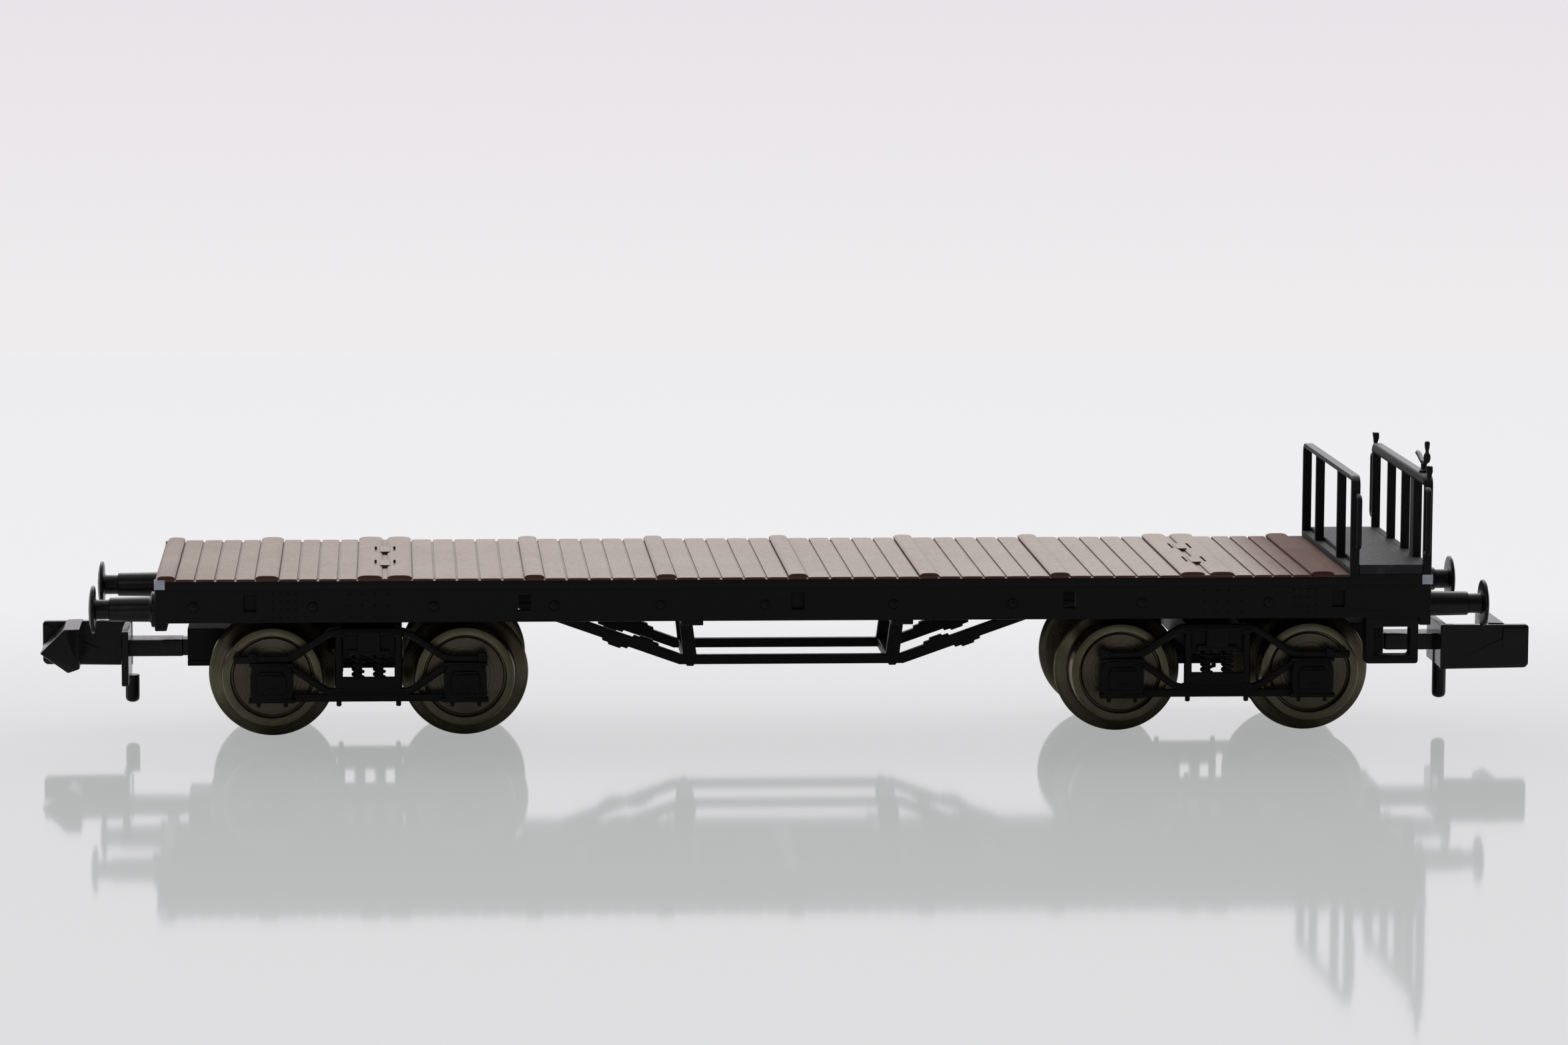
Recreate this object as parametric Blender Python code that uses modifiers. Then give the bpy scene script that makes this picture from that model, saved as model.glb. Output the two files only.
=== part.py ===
"""Model flat car, 1:160: a bogie flat car with a brake platform at its right end.

X runs along the car, +Z is up and -Y is the side nearest the viewer. The rails' top
would be near z = 0, where the wheel flanges stand. Every value below is in millimetres
and is turned into metres where a mesh is made.
"""
import math

import bmesh
import bpy
from mathutils import Euler, Matrix, Vector

MM = 0.001
WELD = 1e-7

# Clearances
PRESS = 0.005
RUN = 0.05

# Frame and deck
FRAME_X = 37.35
FRAME_Y = 8.75
LIP_Y = 9.05
WEB = 0.60
HEADSTOCK = 0.70
SOLE_Z = 7.35
HEADSTOCK_Z = 6.90
LIP_Z = 9.34
LIP_TOP = 9.82
DECK_X = 37.25
DECK_UNDER = 9.15
DECK_TOP = 9.96
BOARD_TOP = 10.15
BOARD_Y = 8.95
STAKES = (-31.85, -15.95, 0.0, 15.95, 31.85)
STAKE_HOLE = (0.73, 8.02, 8.99)
BOSSES = (-35.1, -28.2, -21.2, -14.2, -8.0, -1.9, 5.6, 12.6, 20.2, 27.7)
BOARDS = (
    (-36.67, 1.00), (-30.85, 1.31), (-24.90, 1.40), (-23.18, 1.40), (-15.36, 1.12),
    (-7.68, 1.10), (0.0, 1.08), (7.68, 1.10), (15.36, 1.12), (23.18, 1.40),
    (24.90, 1.40), (30.85, 1.31),
)
CLIP_X = 24.03
CLIP_Y = 3.10
SILL_Y = 3.43
SILL_HALF = 0.28
SILL_Z = 7.80
END_SILL_Z = 7.62
BEARER_X = 6.15
BEARER_Z = 7.05

# Trussing under the middle
TRUSS_KNEE = 6.65
TRUSS_Z = 4.05
TRUSS_ROD = 0.55
TRUSS_SLOPE = 0.354
TRUSS_DEPTH = 0.64

# Buffers
BUFFER_Y = 5.47
BUFFER_Z = 7.74
BUFFER_PEG = 0.40

# Brake platform
RAIL_INNER = (32.45, 32.99)
RAIL_END = (36.76, 37.28)
RAIL_TOP = 15.78
FLOOR_TOP = 10.53
POST = 0.30

# Bogies
PIVOT_X = 25.0
AXLE_X = 5.65
AXLE_Z = 3.75
AXLE_R = 0.60
AXLE_TIP = 6.85
WHEEL_R = 3.75
WHEEL_BACK = 3.72
WHEEL_FACE = 5.95
WHEEL_STEPS = 20
SIDE_IN = 6.35
SIDE_OUT = 6.95
BAR = 0.42
TIE = 0.46
BOX_HALF = 1.24
ARCH_TOP = 6.76
AXLE_BOX_Z = (2.41, 4.70)
POST_X = 1.74
PLANK_Z = (2.85, 3.85)
NEST_X = 0.62
NEST_R = 0.39
TRANSOM_X = 1.63
TRANSOM_Z = (4.95, 6.55)
SCREW_R = 0.60

# Couplers, in the bogie's own frame
PIN_X = 8.30
PIN_Z = 4.79
PIN_R = 0.30
POCKET = (6.45, 10.70, 2.10, 4.22, 6.10)
POCKET_WALL = 0.45
POCKET_ROOF = 5.72
HEAD_BACK = 14.10
HEAD_FRONT = 19.45
HEAD_Y = 2.50

FINISHES = {
    "frame_black": ((0.020, 0.020, 0.021), 0.0, 0.45),
    "deck_brown": ((0.165, 0.065, 0.040), 0.0, 0.50),
    "bogie_black": ((0.018, 0.018, 0.019), 0.0, 0.50),
    "wheel_metal": ((0.110, 0.085, 0.055), 0.8, 0.40),
    "steel": ((0.400, 0.400, 0.400), 1.0, 0.35),
}


def clear_scene():
    for obj in list(bpy.data.objects):
        bpy.data.objects.remove(obj, do_unlink=True)


def new_collection(name):
    collection = bpy.data.collections.new(name)
    bpy.context.scene.collection.children.link(collection)
    return collection


clear_scene()
PARTS = new_collection("model_flat_car")
TOOLS = new_collection("boolean_tools")


def add(name, data):
    obj = bpy.data.objects.new(name, data)
    PARTS.objects.link(obj)
    return obj


def add_bmesh(name, bm):
    mesh = bpy.data.meshes.new(name)
    bm.to_mesh(mesh)
    bm.free()
    return add(name, mesh)


def finish(obj, slot):
    colour, metallic, roughness = FINISHES[slot]
    material = bpy.data.materials.new(obj.name + "_finish")
    material.use_nodes = True
    shader = material.node_tree.nodes["Principled BSDF"]
    shader.inputs["Base Color"].default_value = (*colour, 1.0)
    shader.inputs["Metallic"].default_value = metallic
    shader.inputs["Roughness"].default_value = roughness
    obj.data.materials.clear()
    obj.data.materials.append(material)
    return obj


def carry(obj, parent):
    """Hang an object, and the tools that shape it, on a parent."""
    obj.parent = parent
    for modifier in obj.modifiers:
        if modifier.type == "BOOLEAN":
            carry(modifier.object, parent)
    return obj


def set_pivot(obj, pivot):
    """Move an object's origin to its joint axis without moving its shape."""
    offset = Vector(pivot) * MM
    obj.data.transform(Matrix.Translation(-offset))
    obj.location = offset
    return obj


def combine(target, tool, operation, overlapping=False):
    modifier = target.modifiers.new(tool.name, "BOOLEAN")
    modifier.operation = operation
    modifier.solver = "EXACT"
    modifier.use_self = overlapping
    modifier.object = tool
    if tool.name in PARTS.objects:
        PARTS.objects.unlink(tool)
        TOOLS.objects.link(tool)
    tool.hide_render = True
    tool.display_type = "WIRE"
    return target


def join(target, tool, overlapping=False):
    return combine(target, tool, "UNION", overlapping)


def cut(target, tool, overlapping=False):
    return combine(target, tool, "DIFFERENCE", overlapping)


def blocks(name, spans):
    """Boxes in one object, each from x0, x1, y0, y1, z0, z1."""
    bm = bmesh.new()
    for span in spans:
        low = Vector([min(span[i], span[i + 1]) for i in (0, 2, 4)]) * MM
        high = Vector([max(span[i], span[i + 1]) for i in (0, 2, 4)]) * MM
        size = high - low
        place = Matrix.Translation((low + high) / 2)
        scale = Matrix.Diagonal((size.x, size.y, size.z, 1.0))
        bmesh.ops.create_cube(bm, size=1.0, matrix=place @ scale)
    return add_bmesh(name, bm)


def pegs(name, pieces, sides=16):
    """Round rods or cones, each (x, y, z), axis, length, radius, far radius."""
    turns = {
        "X": Matrix.Rotation(math.pi / 2, 4, "Y"),
        "Y": Matrix.Rotation(-math.pi / 2, 4, "X"),
        "Z": Matrix.Identity(4),
    }
    bm = bmesh.new()
    for start, axis, length, radius, far_radius in pieces:
        half = Matrix.Translation((0.0, 0.0, length * MM / 2))
        place = Matrix.Translation(Vector(start) * MM) @ turns[axis] @ half
        bmesh.ops.create_cone(
            bm, cap_ends=True, segments=sides, radius1=radius * MM,
            radius2=far_radius * MM, depth=length * MM, matrix=place,
        )
    return add_bmesh(name, bm)


def as_mesh(obj):
    """Turn a curve into a closed mesh that Booleans can use."""
    bpy.context.view_layer.update()
    seen = obj.evaluated_get(bpy.context.evaluated_depsgraph_get())
    mesh = bpy.data.meshes.new_from_object(seen)
    mesh.transform(obj.matrix_world)
    name = obj.name
    bpy.data.objects.remove(obj)
    bm = bmesh.new()
    bm.from_mesh(mesh)
    bmesh.ops.remove_doubles(bm, verts=bm.verts, dist=WELD)
    bmesh.ops.dissolve_degenerate(bm, edges=bm.edges, dist=WELD)
    bmesh.ops.recalc_face_normals(bm, faces=bm.faces)
    bm.to_mesh(mesh)
    bm.free()
    return add(name, mesh)


def plate(name, plane, start, end, outlines):
    """Sheet cut to outlines, the inner ones being holes, between two coordinates."""
    curve = bpy.data.curves.new(name, "CURVE")
    curve.dimensions = "2D"
    curve.fill_mode = "BOTH"
    curve.extrude = abs(end - start) / 2 * MM
    for outline in outlines:
        spline = curve.splines.new("POLY")
        spline.points.add(len(outline) - 1)
        for point, (across, up) in zip(spline.points, outline):
            point.co = (across * MM, up * MM, 0.0, 1.0)
        spline.use_cyclic_u = True
    obj = add(name, curve)
    middle = (start + end) / 2 * MM
    if plane == "XY":
        obj.location = (0.0, 0.0, middle)
    elif plane == "XZ":
        obj.location = (0.0, middle, 0.0)
        obj.rotation_euler = Euler((math.pi / 2, 0.0, 0.0))
    else:
        obj.location = (middle, 0.0, 0.0)
        obj.rotation_euler = Euler((math.pi / 2, 0.0, math.pi / 2))
    return as_mesh(obj)


def wire(name, points, radius, resolution=2):
    curve = bpy.data.curves.new(name, "CURVE")
    curve.dimensions = "3D"
    curve.bevel_depth = radius * MM
    curve.bevel_resolution = resolution
    curve.use_fill_caps = True
    spline = curve.splines.new("POLY")
    spline.points.add(len(points) - 1)
    for point, place in zip(spline.points, points):
        point.co = (*(Vector(place) * MM), 1.0)
    return as_mesh(add(name, curve))


def turned(name, profile, axis, centre, steps, closed=False):
    """Turn a profile of (radius, place along the axis) points, listed from the far end."""
    bm = bmesh.new()
    verts = [bm.verts.new((radius * MM, 0.0, along * MM)) for radius, along in profile]
    for first, second in zip(verts, verts[1:]):
        bm.edges.new((first, second))
    if closed:
        bm.edges.new((verts[-1], verts[0]))
    obj = add_bmesh(name, bm)
    screw = obj.modifiers.new("turn", "SCREW")
    screw.axis = "Z"
    screw.angle = 2 * math.pi
    screw.steps = steps
    screw.render_steps = steps
    screw.use_merge_vertices = True
    screw.merge_threshold = WELD
    screw.use_normal_calculate = False
    screw.use_smooth_shade = True
    obj.location = Vector(centre) * MM
    if axis == "Y":
        obj.rotation_euler = (-math.pi / 2, 0.0, 0.0)
    elif axis == "X":
        obj.rotation_euler = (0.0, math.pi / 2, 0.0)
    return obj


def mirrored(points):
    """Close an outline that is the same left and right, from its right half."""
    return list(points) + [(-x, z) for x, z in reversed(points)]


def rectangle(x0, x1, z0, z1):
    return [(x0, z0), (x1, z0), (x1, z1), (x0, z1)]


def round_top(half, low, high, radius, count=4):
    """Upright outline with its two upper corners rounded."""
    right = [(half, low)]
    for step in range(count + 1):
        angle = step * math.pi / 2 / count
        x = half - radius + radius * math.cos(angle)
        z = high - radius + radius * math.sin(angle)
        right.append((x, z))
    return mirrored(right)


# ---------------------------------------------------------------- underframe


def frame_members():
    """Solebars, headstocks, sills, bolsters and cross-bearers as boxes."""
    inside = FRAME_Y - WEB
    reach = inside + WEB / 2
    spans = []
    for side in (-1, 1):
        spans.append((-FRAME_X, FRAME_X, side * inside, side * FRAME_Y, SOLE_Z, LIP_Z + 0.2))
        spans.append((side * (FRAME_X - HEADSTOCK), side * FRAME_X, -FRAME_Y, FRAME_Y,
                      HEADSTOCK_Z, LIP_Z + 0.2))
        spans.append((-PIVOT_X, PIVOT_X, side * (SILL_Y - SILL_HALF),
                      side * (SILL_Y + SILL_HALF), SILL_Z, DECK_UNDER))
        for y in (-SILL_Y, SILL_Y):
            spans.append((side * PIVOT_X, side * (FRAME_X - HEADSTOCK / 2), y - SILL_HALF,
                          y + SILL_HALF, END_SILL_Z, DECK_UNDER))
        for x, half, low in (
            (PIVOT_X, 1.60, 7.70), (BEARER_X, 0.65, BEARER_Z),
            (12.30, 0.30, 7.90), (STAKES[4], 0.45, END_SILL_Z),
        ):
            spans.append((side * x - half, side * x + half, -reach, reach, low, DECK_UNDER))
    spans.append((-0.45, 0.45, -reach, reach, END_SILL_Z, DECK_UNDER))
    return blocks("tool_frame_members", spans)


def frame_braces():
    """Two crossed flats in plan between the cross-bearers."""
    x = BEARER_X
    y = FRAME_Y - WEB
    slant = 0.21
    outlines = []
    for side in (-1, 1):
        outlines.append([
            (-x - slant, -side * y), (-x + slant, -side * y),
            (x + slant, side * y), (x - slant, side * y),
        ])
    first = plate("tool_frame_brace_a", "XY", 8.90, DECK_UNDER, outlines[:1])
    second = plate("tool_frame_brace_b", "XY", 8.90, DECK_UNDER, outlines[1:])
    return first, second


def build_underframe():
    lip = plate("underframe", "XY", LIP_Z, LIP_TOP, [
        rectangle(-FRAME_X, FRAME_X, -LIP_Y, LIP_Y),
        rectangle(-FRAME_X + HEADSTOCK, FRAME_X - HEADSTOCK, -FRAME_Y + WEB, FRAME_Y - WEB),
    ])
    join(lip, frame_members(), overlapping=True)
    for brace in frame_braces():
        join(lip, brace)
    bosses = []
    for x in BOSSES:
        bosses.append(((x, -FRAME_Y - 0.12, 8.30), "Y", 0.40, 0.25, 0.31))
        bosses.append(((x, FRAME_Y - 0.28, 8.30), "Y", 0.40, 0.31, 0.25))
    for side in (-1, 1):
        bosses.append(((side * PIVOT_X, 0.0, 6.60), "Z", 1.60, 1.80, 1.80))
    join(lip, pegs("tool_frame_bosses", bosses, 6))
    width, low, high = STAKE_HOLE
    holes = []
    for x in STAKES:
        for side in (-1, 1):
            holes.append((x - width / 2, x + width / 2, side * (FRAME_Y - WEB - 0.1),
                          side * (FRAME_Y + 0.1), low, high))
    cut(lip, blocks("tool_stake_holes", holes))
    bores = []
    for side in (-1, 1):
        bores.append(((side * PIVOT_X, 0.0, 6.50), "Z", 1.75, SCREW_R + PRESS, SCREW_R + PRESS))
        for y in (-BUFFER_Y, BUFFER_Y):
            start = FRAME_X - 0.55 if side > 0 else -FRAME_X - 0.1
            bores.append(((start, y, BUFFER_Z), "X", 0.65, BUFFER_PEG + PRESS,
                          BUFFER_PEG + PRESS))
    cut(lip, pegs("tool_frame_bores", bores, 14))
    return finish(lip, "frame_black")


# ---------------------------------------------------------------- deck


def board_outline(centre, width):
    half = width / 2
    low = DECK_TOP - 0.08
    dome = []
    for share, drop in ((1.0, 0.10), (0.80, 0.035), (0.45, 0.0)):
        dome.append((half * share, BOARD_TOP - drop))
    right = [(half, low)] + dome
    return [(centre + x, z) for x, z in mirrored(right)]


def plank_joints():
    """Places of the joints between planks, bay by bay from the middle outwards."""
    joints = []
    bays = ((0.54, 7.13, 5), (8.23, 14.80, 5), (15.92, 22.48, 5), (25.60, 30.20, 4),
            (31.50, 36.17, 4))
    for start, end, count in bays:
        for step in range(1, count):
            place = start + (end - start) * step / count
            joints.extend((place, -place))
    return joints


def build_deck():
    deck = blocks("deck", [(-DECK_X, DECK_X, -LIP_Y, LIP_Y, LIP_TOP, DECK_TOP)])
    core_x = FRAME_X - HEADSTOCK - RUN
    core_y = FRAME_Y - WEB - RUN
    join(deck, blocks("tool_deck_core", [
        (-core_x, core_x, -core_y, core_y, DECK_UNDER, LIP_TOP + 0.05),
    ]))
    join(deck, plate("tool_boards", "XZ", -BOARD_Y, BOARD_Y,
                     [board_outline(x, width) for x, width in BOARDS]))
    grooves = []
    for x in plank_joints():
        grooves.append((x - 0.06, x + 0.06, -LIP_Y - 0.1, LIP_Y + 0.1, DECK_TOP - 0.10,
                        DECK_TOP + 0.1))
    cut(deck, blocks("tool_plank_joints", grooves))
    pads = []
    slots = []
    notches = []
    for side in (-1, 1):
        for y in (-CLIP_Y, CLIP_Y):
            x = side * CLIP_X
            pads.append((x - 0.45, x + 0.45, y - 0.95, y + 0.95, DECK_TOP - 0.05,
                         BOARD_TOP - 0.02))
            for offset in (-0.55, 0.55):
                slots.append((x + offset - 0.125, x + offset + 0.125, y - 0.95, y + 0.95,
                              DECK_TOP + 0.02, BOARD_TOP + 0.1))
            notches.append([(x - 0.19, y - 0.98), (x + 0.19, y - 0.98), (x, y - 0.30)])
    join(deck, blocks("tool_clip_pads", pads))
    cut(deck, blocks("tool_clip_slots", slots))
    cut(deck, plate("tool_clip_notches", "XY", DECK_TOP + 0.03, BOARD_TOP + 0.1, notches))
    return finish(deck, "deck_brown")


# ---------------------------------------------------------------- trussing


def truss_low(x):
    return TRUSS_Z + TRUSS_SLOPE * (x - TRUSS_KNEE)


def truss_outlines():
    """Queen-post truss seen from the side: one outer outline and no holes."""
    end_low = TRUSS_KNEE + (SILL_Z - TRUSS_Z) / TRUSS_SLOPE
    end_high = end_low - TRUSS_DEPTH / TRUSS_SLOPE
    half = [(5.79, TRUSS_Z), (5.79, TRUSS_Z - 0.10), (6.23, TRUSS_Z - 0.10),
            (6.23, TRUSS_Z), (TRUSS_KNEE, TRUSS_Z)]
    for x, swell in ((9.70, 0.0), (9.70, 0.13), (10.08, 0.13), (10.08, 0.24),
                     (10.82, 0.24), (10.82, 0.13), (11.20, 0.13), (11.20, 0.0)):
        half.append((x + swell * TRUSS_SLOPE, truss_low(x) - swell))
    half.append((end_low, SILL_Z))
    half.append((end_high, SILL_Z))
    for x, swell in ((9.40, 0.0), (9.40, 0.13), (9.02, 0.13), (9.02, 0.24),
                     (8.28, 0.24), (8.28, 0.13), (7.90, 0.13), (7.90, 0.0)):
        half.append((x - swell * TRUSS_SLOPE, truss_low(x) + TRUSS_DEPTH + swell))
    half.extend([(6.43, TRUSS_Z + TRUSS_ROD), (6.70, BEARER_Z), (5.95, BEARER_Z),
                 (5.63, TRUSS_Z + TRUSS_ROD)])
    return [mirrored(half)]


def build_trussing():
    for name, side in (("truss_near", -1), ("truss_far", 1)):
        inner = side * (SILL_Y - SILL_HALF)
        outer = side * (SILL_Y + SILL_HALF)
        finish(plate(name, "XZ", inner, outer, truss_outlines()), "frame_black")
    reach = SILL_Y - SILL_HALF
    for name, side in (("truss_tie_left", -1), ("truss_tie_right", 1)):
        tie = blocks(name, [(side * 5.67, side * 6.40, -reach, reach, TRUSS_Z,
                             TRUSS_Z + TRUSS_ROD)])
        finish(tie, "frame_black")


# ---------------------------------------------------------------- buffers


def build_buffer(name, end, y):
    profile = [
        (0.0, 41.32), (0.80, 41.27), (1.40, 41.15), (1.40, 40.93), (0.58, 40.93),
        (0.58, 40.10), (0.70, 40.10), (0.74, 37.66), (1.05, 37.66), (1.05, FRAME_X),
        (BUFFER_PEG, FRAME_X), (BUFFER_PEG, FRAME_X - 0.50), (0.0, FRAME_X - 0.50),
    ]
    buffer = turned(name, profile, "X", (0.0, y, BUFFER_Z), 12)
    if end < 0:
        buffer.rotation_euler = (0.0, -math.pi / 2, 0.0)
    return finish(buffer, "frame_black")


# ---------------------------------------------------------------- platform


def build_inner_railing():
    low = DECK_TOP + 0.37
    high = RAIL_TOP - POST
    edge = LIP_Y - POST
    windows = [(-edge, -4.10), (-3.80, 3.80), (4.10, edge)]
    holes = [rectangle(a, b, low, high) for a, b in windows]
    railing = plate("inner_railing", "YZ", *RAIL_INNER,
                    [round_top(LIP_Y, DECK_TOP, RAIL_TOP, 0.60)] + holes)
    return finish(railing, "frame_black")


def build_end_railing():
    low = FLOOR_TOP
    high = RAIL_TOP - 0.33
    edge = LIP_Y - POST
    windows = [(-edge, -5.52), (-4.34, -1.54), (-1.26, 3.32), (3.60, edge)]
    holes = [rectangle(a, b, low, high) for a, b in windows]
    railing = plate("end_railing", "YZ", *RAIL_END,
                    [round_top(LIP_Y, DECK_TOP, RAIL_TOP, 0.60)] + holes)
    return finish(railing, "frame_black")


def build_grab_iron(name, x, side, low, high):
    radius = 0.16
    face = side * LIP_Y
    out = side * (LIP_Y + 0.69)
    turn = 0.30
    path = [(x, face, low)]
    for step in range(4):
        angle = step * math.pi / 6
        path.append((x, out - side * turn * (1 - math.sin(angle)),
                     low + turn * (1 - math.cos(angle))))
    for step in range(4):
        angle = math.pi / 2 - step * math.pi / 6
        path.append((x, out - side * turn * (1 - math.sin(angle)),
                     high - turn * (1 - math.cos(angle))))
    path.append((x, face, high))
    return finish(wire(name, path, radius, 1), "frame_black")


def build_lamp_iron(name, side):
    middle = 36.985
    outline = [(middle + x, z) for x, z in mirrored([
        (0.185, 15.25), (0.185, 15.45), (0.10, 15.60), (0.10, 16.05), (0.185, 16.20),
        (0.185, 16.37),
    ])]
    iron = plate(name, "XZ", side * LIP_Y, side * (LIP_Y + 0.28), [outline])
    return finish(iron, "frame_black")


def build_brake_crank():
    x = 37.02
    y = -7.30
    stem = turned("brake_crank", [
        (0.0, 16.52), (0.18, 16.52), (0.18, 15.95), (0.26, 15.90), (0.26, RAIL_TOP),
        (0.0, RAIL_TOP),
    ], "Z", (x, y, 0.0), 12)
    arm_path = [
        (x, -5.20, 16.72), (x, -5.60, 16.68), (x, -6.20, 16.52), (x, -6.75, 16.40),
        (x, y, 16.36), (x, -7.75, 16.42), (x, -8.20, 16.62),
    ]
    join(stem, wire("tool_crank_arm", arm_path, 0.15, 1))
    handle = turned("tool_crank_handle", [
        (0.0, 17.74), (0.20, 17.70), (0.24, 17.58), (0.15, 17.25), (0.15, 17.02),
        (0.27, 16.92), (0.29, 16.68), (0.20, 16.42), (0.0, 16.40),
    ], "Z", (x, -8.25, 0.0), 10)
    join(stem, handle)
    return finish(stem, "frame_black")


def build_step(name, side):
    ring = [(33.50, SOLE_Z), (33.50, 4.80), (33.56, 4.68), (33.68, 4.62), (36.44, 4.62),
            (36.56, 4.68), (36.62, 4.80), (36.62, SOLE_Z)]
    step = plate(name, "XZ", side * 7.60, side * 8.72,
                 [ring, rectangle(33.92, 36.10, 5.20, 6.70)])
    return finish(step, "frame_black")


def build_platform():
    floor = blocks("platform_floor", [
        (RAIL_INNER[1] + 0.02, RAIL_END[0] - 0.02, -LIP_Y, LIP_Y, DECK_TOP, FLOOR_TOP),
    ])
    finish(floor, "frame_black")
    build_inner_railing()
    build_end_railing()
    build_brake_crank()
    inner_x = 32.83
    end_x = 36.92
    for word, side in (("near", -1), ("far", 1)):
        build_grab_iron("inner_grab_iron_" + word, inner_x, side, 11.60, 14.60)
        build_grab_iron("end_grab_iron_" + word, end_x, side, 11.20, 15.00)
        build_lamp_iron("lamp_iron_" + word, side)
        build_step("step_" + word, side)


# ---------------------------------------------------------------- bogies


def bent_bar(points, thickness, bend, count=3):
    """Outline of a flat bar bent along a path, its bends eased over a length."""
    path = [Vector(points[0])]
    for before, corner, after in zip(points, points[1:], points[2:]):
        corner = Vector(corner)
        start = corner + (Vector(before) - corner).normalized() * bend
        end = corner + (Vector(after) - corner).normalized() * bend
        for step in range(count + 1):
            share = step / count
            path.append(start.lerp(corner, share).lerp(corner.lerp(end, share), share))
    path.append(Vector(points[-1]))
    left = []
    right = []
    for index, point in enumerate(path):
        ahead = path[min(index + 1, len(path) - 1)]
        behind = path[max(index - 1, 0)]
        first = (point - behind).normalized() if index else (ahead - point).normalized()
        last = (ahead - point).normalized() if index < len(path) - 1 else first
        normal = Vector((-first.y - last.y, first.x + last.x)).normalized()
        reach = thickness / 2 / normal.dot(Vector((-first.y, first.x)))
        left.append(point + normal * reach)
        right.append(point - normal * reach)
    return [tuple(point) for point in left + right[::-1]]


def nest_spring(name, x, y):
    """One moulded spring of the nest: a turned column with ribs for its coils."""
    top = PLANK_Z[1] + 1.25
    pitch = 0.34
    profile = [(0.0, top + 0.25), (0.30, top + 0.25)]
    for turn in range(4):
        z = top - turn * pitch
        profile.extend([(NEST_R, z), (0.30, z - pitch / 2)])
    profile.append((0.0, PLANK_Z[1] - 0.10))
    return turned(name, profile, "Z", (x, y, 0.0), 8)


def axle_box_outlines(half, low, high, corner):
    outlines = []
    for x in (-AXLE_X, AXLE_X):
        outlines.append([(x + a, z) for a, z in mirrored([
            (half, low), (half, high - corner), (half - corner * 0.8, high),
        ])])
    return outlines


def side_bars(name, inner, outer):
    """Arch bar, with the lower bar and the tie bar that it is joined with."""
    box_top = AXLE_BOX_Z[1]
    rest = box_top + BAR / 2
    arch = ARCH_TOP - BAR / 2
    upper = [(7.90, rest), (4.55, rest), (2.20, arch), (-2.20, arch), (-4.55, rest),
             (-6.95, rest)]
    lower = [(5.30, box_top - 0.12), (4.55, box_top - 0.24), (2.35, 2.96), (-2.35, 2.96),
             (-4.55, box_top - 0.24), (-5.30, box_top - 0.12)]
    frame = plate(name, "XZ", inner, outer, [bent_bar(upper, BAR, 0.50)])
    join(frame, plate("tool_lower_" + name, "XZ", inner, outer - (outer - inner) * 0.04,
                      [bent_bar(lower, BAR * 0.9, 0.50)]))
    return frame


def build_side(name, side):
    inner = side * SIDE_IN
    outer = side * SIDE_OUT
    low, high = AXLE_BOX_Z
    frame = side_bars(name, inner, outer)
    tie = [(-6.95, 6.95, inner, side * 6.90, low, low + TIE)]
    nest = [
        (-POST_X, POST_X, side * 6.40, side * 6.88, 2.85, PLANK_Z[1]),
        (-1.20, 1.20, side * 6.40, side * 6.86, PLANK_Z[1] + 1.30, PLANK_Z[1] + 1.62),
        (-0.66, 0.66, side * 6.42, side * 6.98, PLANK_Z[1] + 1.50, ARCH_TOP - 0.20),
        (-POST_X, POST_X, side * 6.42, side * 6.60, PLANK_Z[1] + 1.38, ARCH_TOP - 0.20),
    ]
    lugs = [(7.00, 6.45, side * 6.45, side * 7.05, high - 0.02, high + 0.66),
            (-6.90, -6.40, side * 6.45, side * 7.05, high - 0.02, high + 0.66)]
    join(frame, blocks("tool_tie_" + name, tie))
    join(frame, blocks("tool_nest_" + name, nest), overlapping=True)
    join(frame, blocks("tool_lugs_" + name, lugs))
    join(frame, plate("tool_boxes_" + name, "XZ", inner + side * 0.01, side * 7.37,
                      axle_box_outlines(BOX_HALF, low + 0.10, high - 0.04, 0.28)))
    join(frame, plate("tool_lids_" + name, "XZ", side * 7.20, side * 7.45,
                      axle_box_outlines(BOX_HALF - 0.34, low + 0.42, high - 0.38, 0.24)))
    rods = []
    for x in (-AXLE_X, AXLE_X):
        for offset in (-0.80, 0.78):
            rods.append(((x + offset, side * 6.85, low - 0.27), "Z", 0.40, 0.12, 0.12))
    for x in (-POST_X, POST_X):
        rods.append(((x, side * 6.70, 2.95), "Z", ARCH_TOP - 3.15, 0.24, 0.24))
        rods.append(((x, side * 6.70, low - 0.27), "Z", 0.40, 0.07, 0.20))
    join(frame, pegs("tool_rods_" + name, rods, 8))
    bases = []
    for x in (-AXLE_X, AXLE_X):
        bases.append((x - BOX_HALF - 0.12, x + BOX_HALF + 0.10, side * 6.60, side * 7.30, low, low + 0.24))
    join(frame, blocks("tool_bases_" + name, bases))
    for index, x in enumerate((-NEST_X, NEST_X)):
        join(frame, nest_spring("tool_spring_%d_%s" % (index, name), x, side * 6.65))
    cups = []
    notches = []
    for x in (-AXLE_X, AXLE_X):
        if side > 0:
            cups.append(((x, SIDE_IN - 0.05, AXLE_Z), "Y", 0.62, 0.67, 0.03))
        else:
            cups.append(((x, -SIDE_IN - 0.57, AXLE_Z), "Y", 0.62, 0.03, 0.67))
        notches.append((x - 0.25, x + 0.25, side * 7.38, side * 7.60, 3.32, 3.52))
    cut(frame, pegs("tool_cups_" + name, cups, 12))
    cut(frame, blocks("tool_notches_" + name, notches))
    return finish(frame, "bogie_black")


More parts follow.
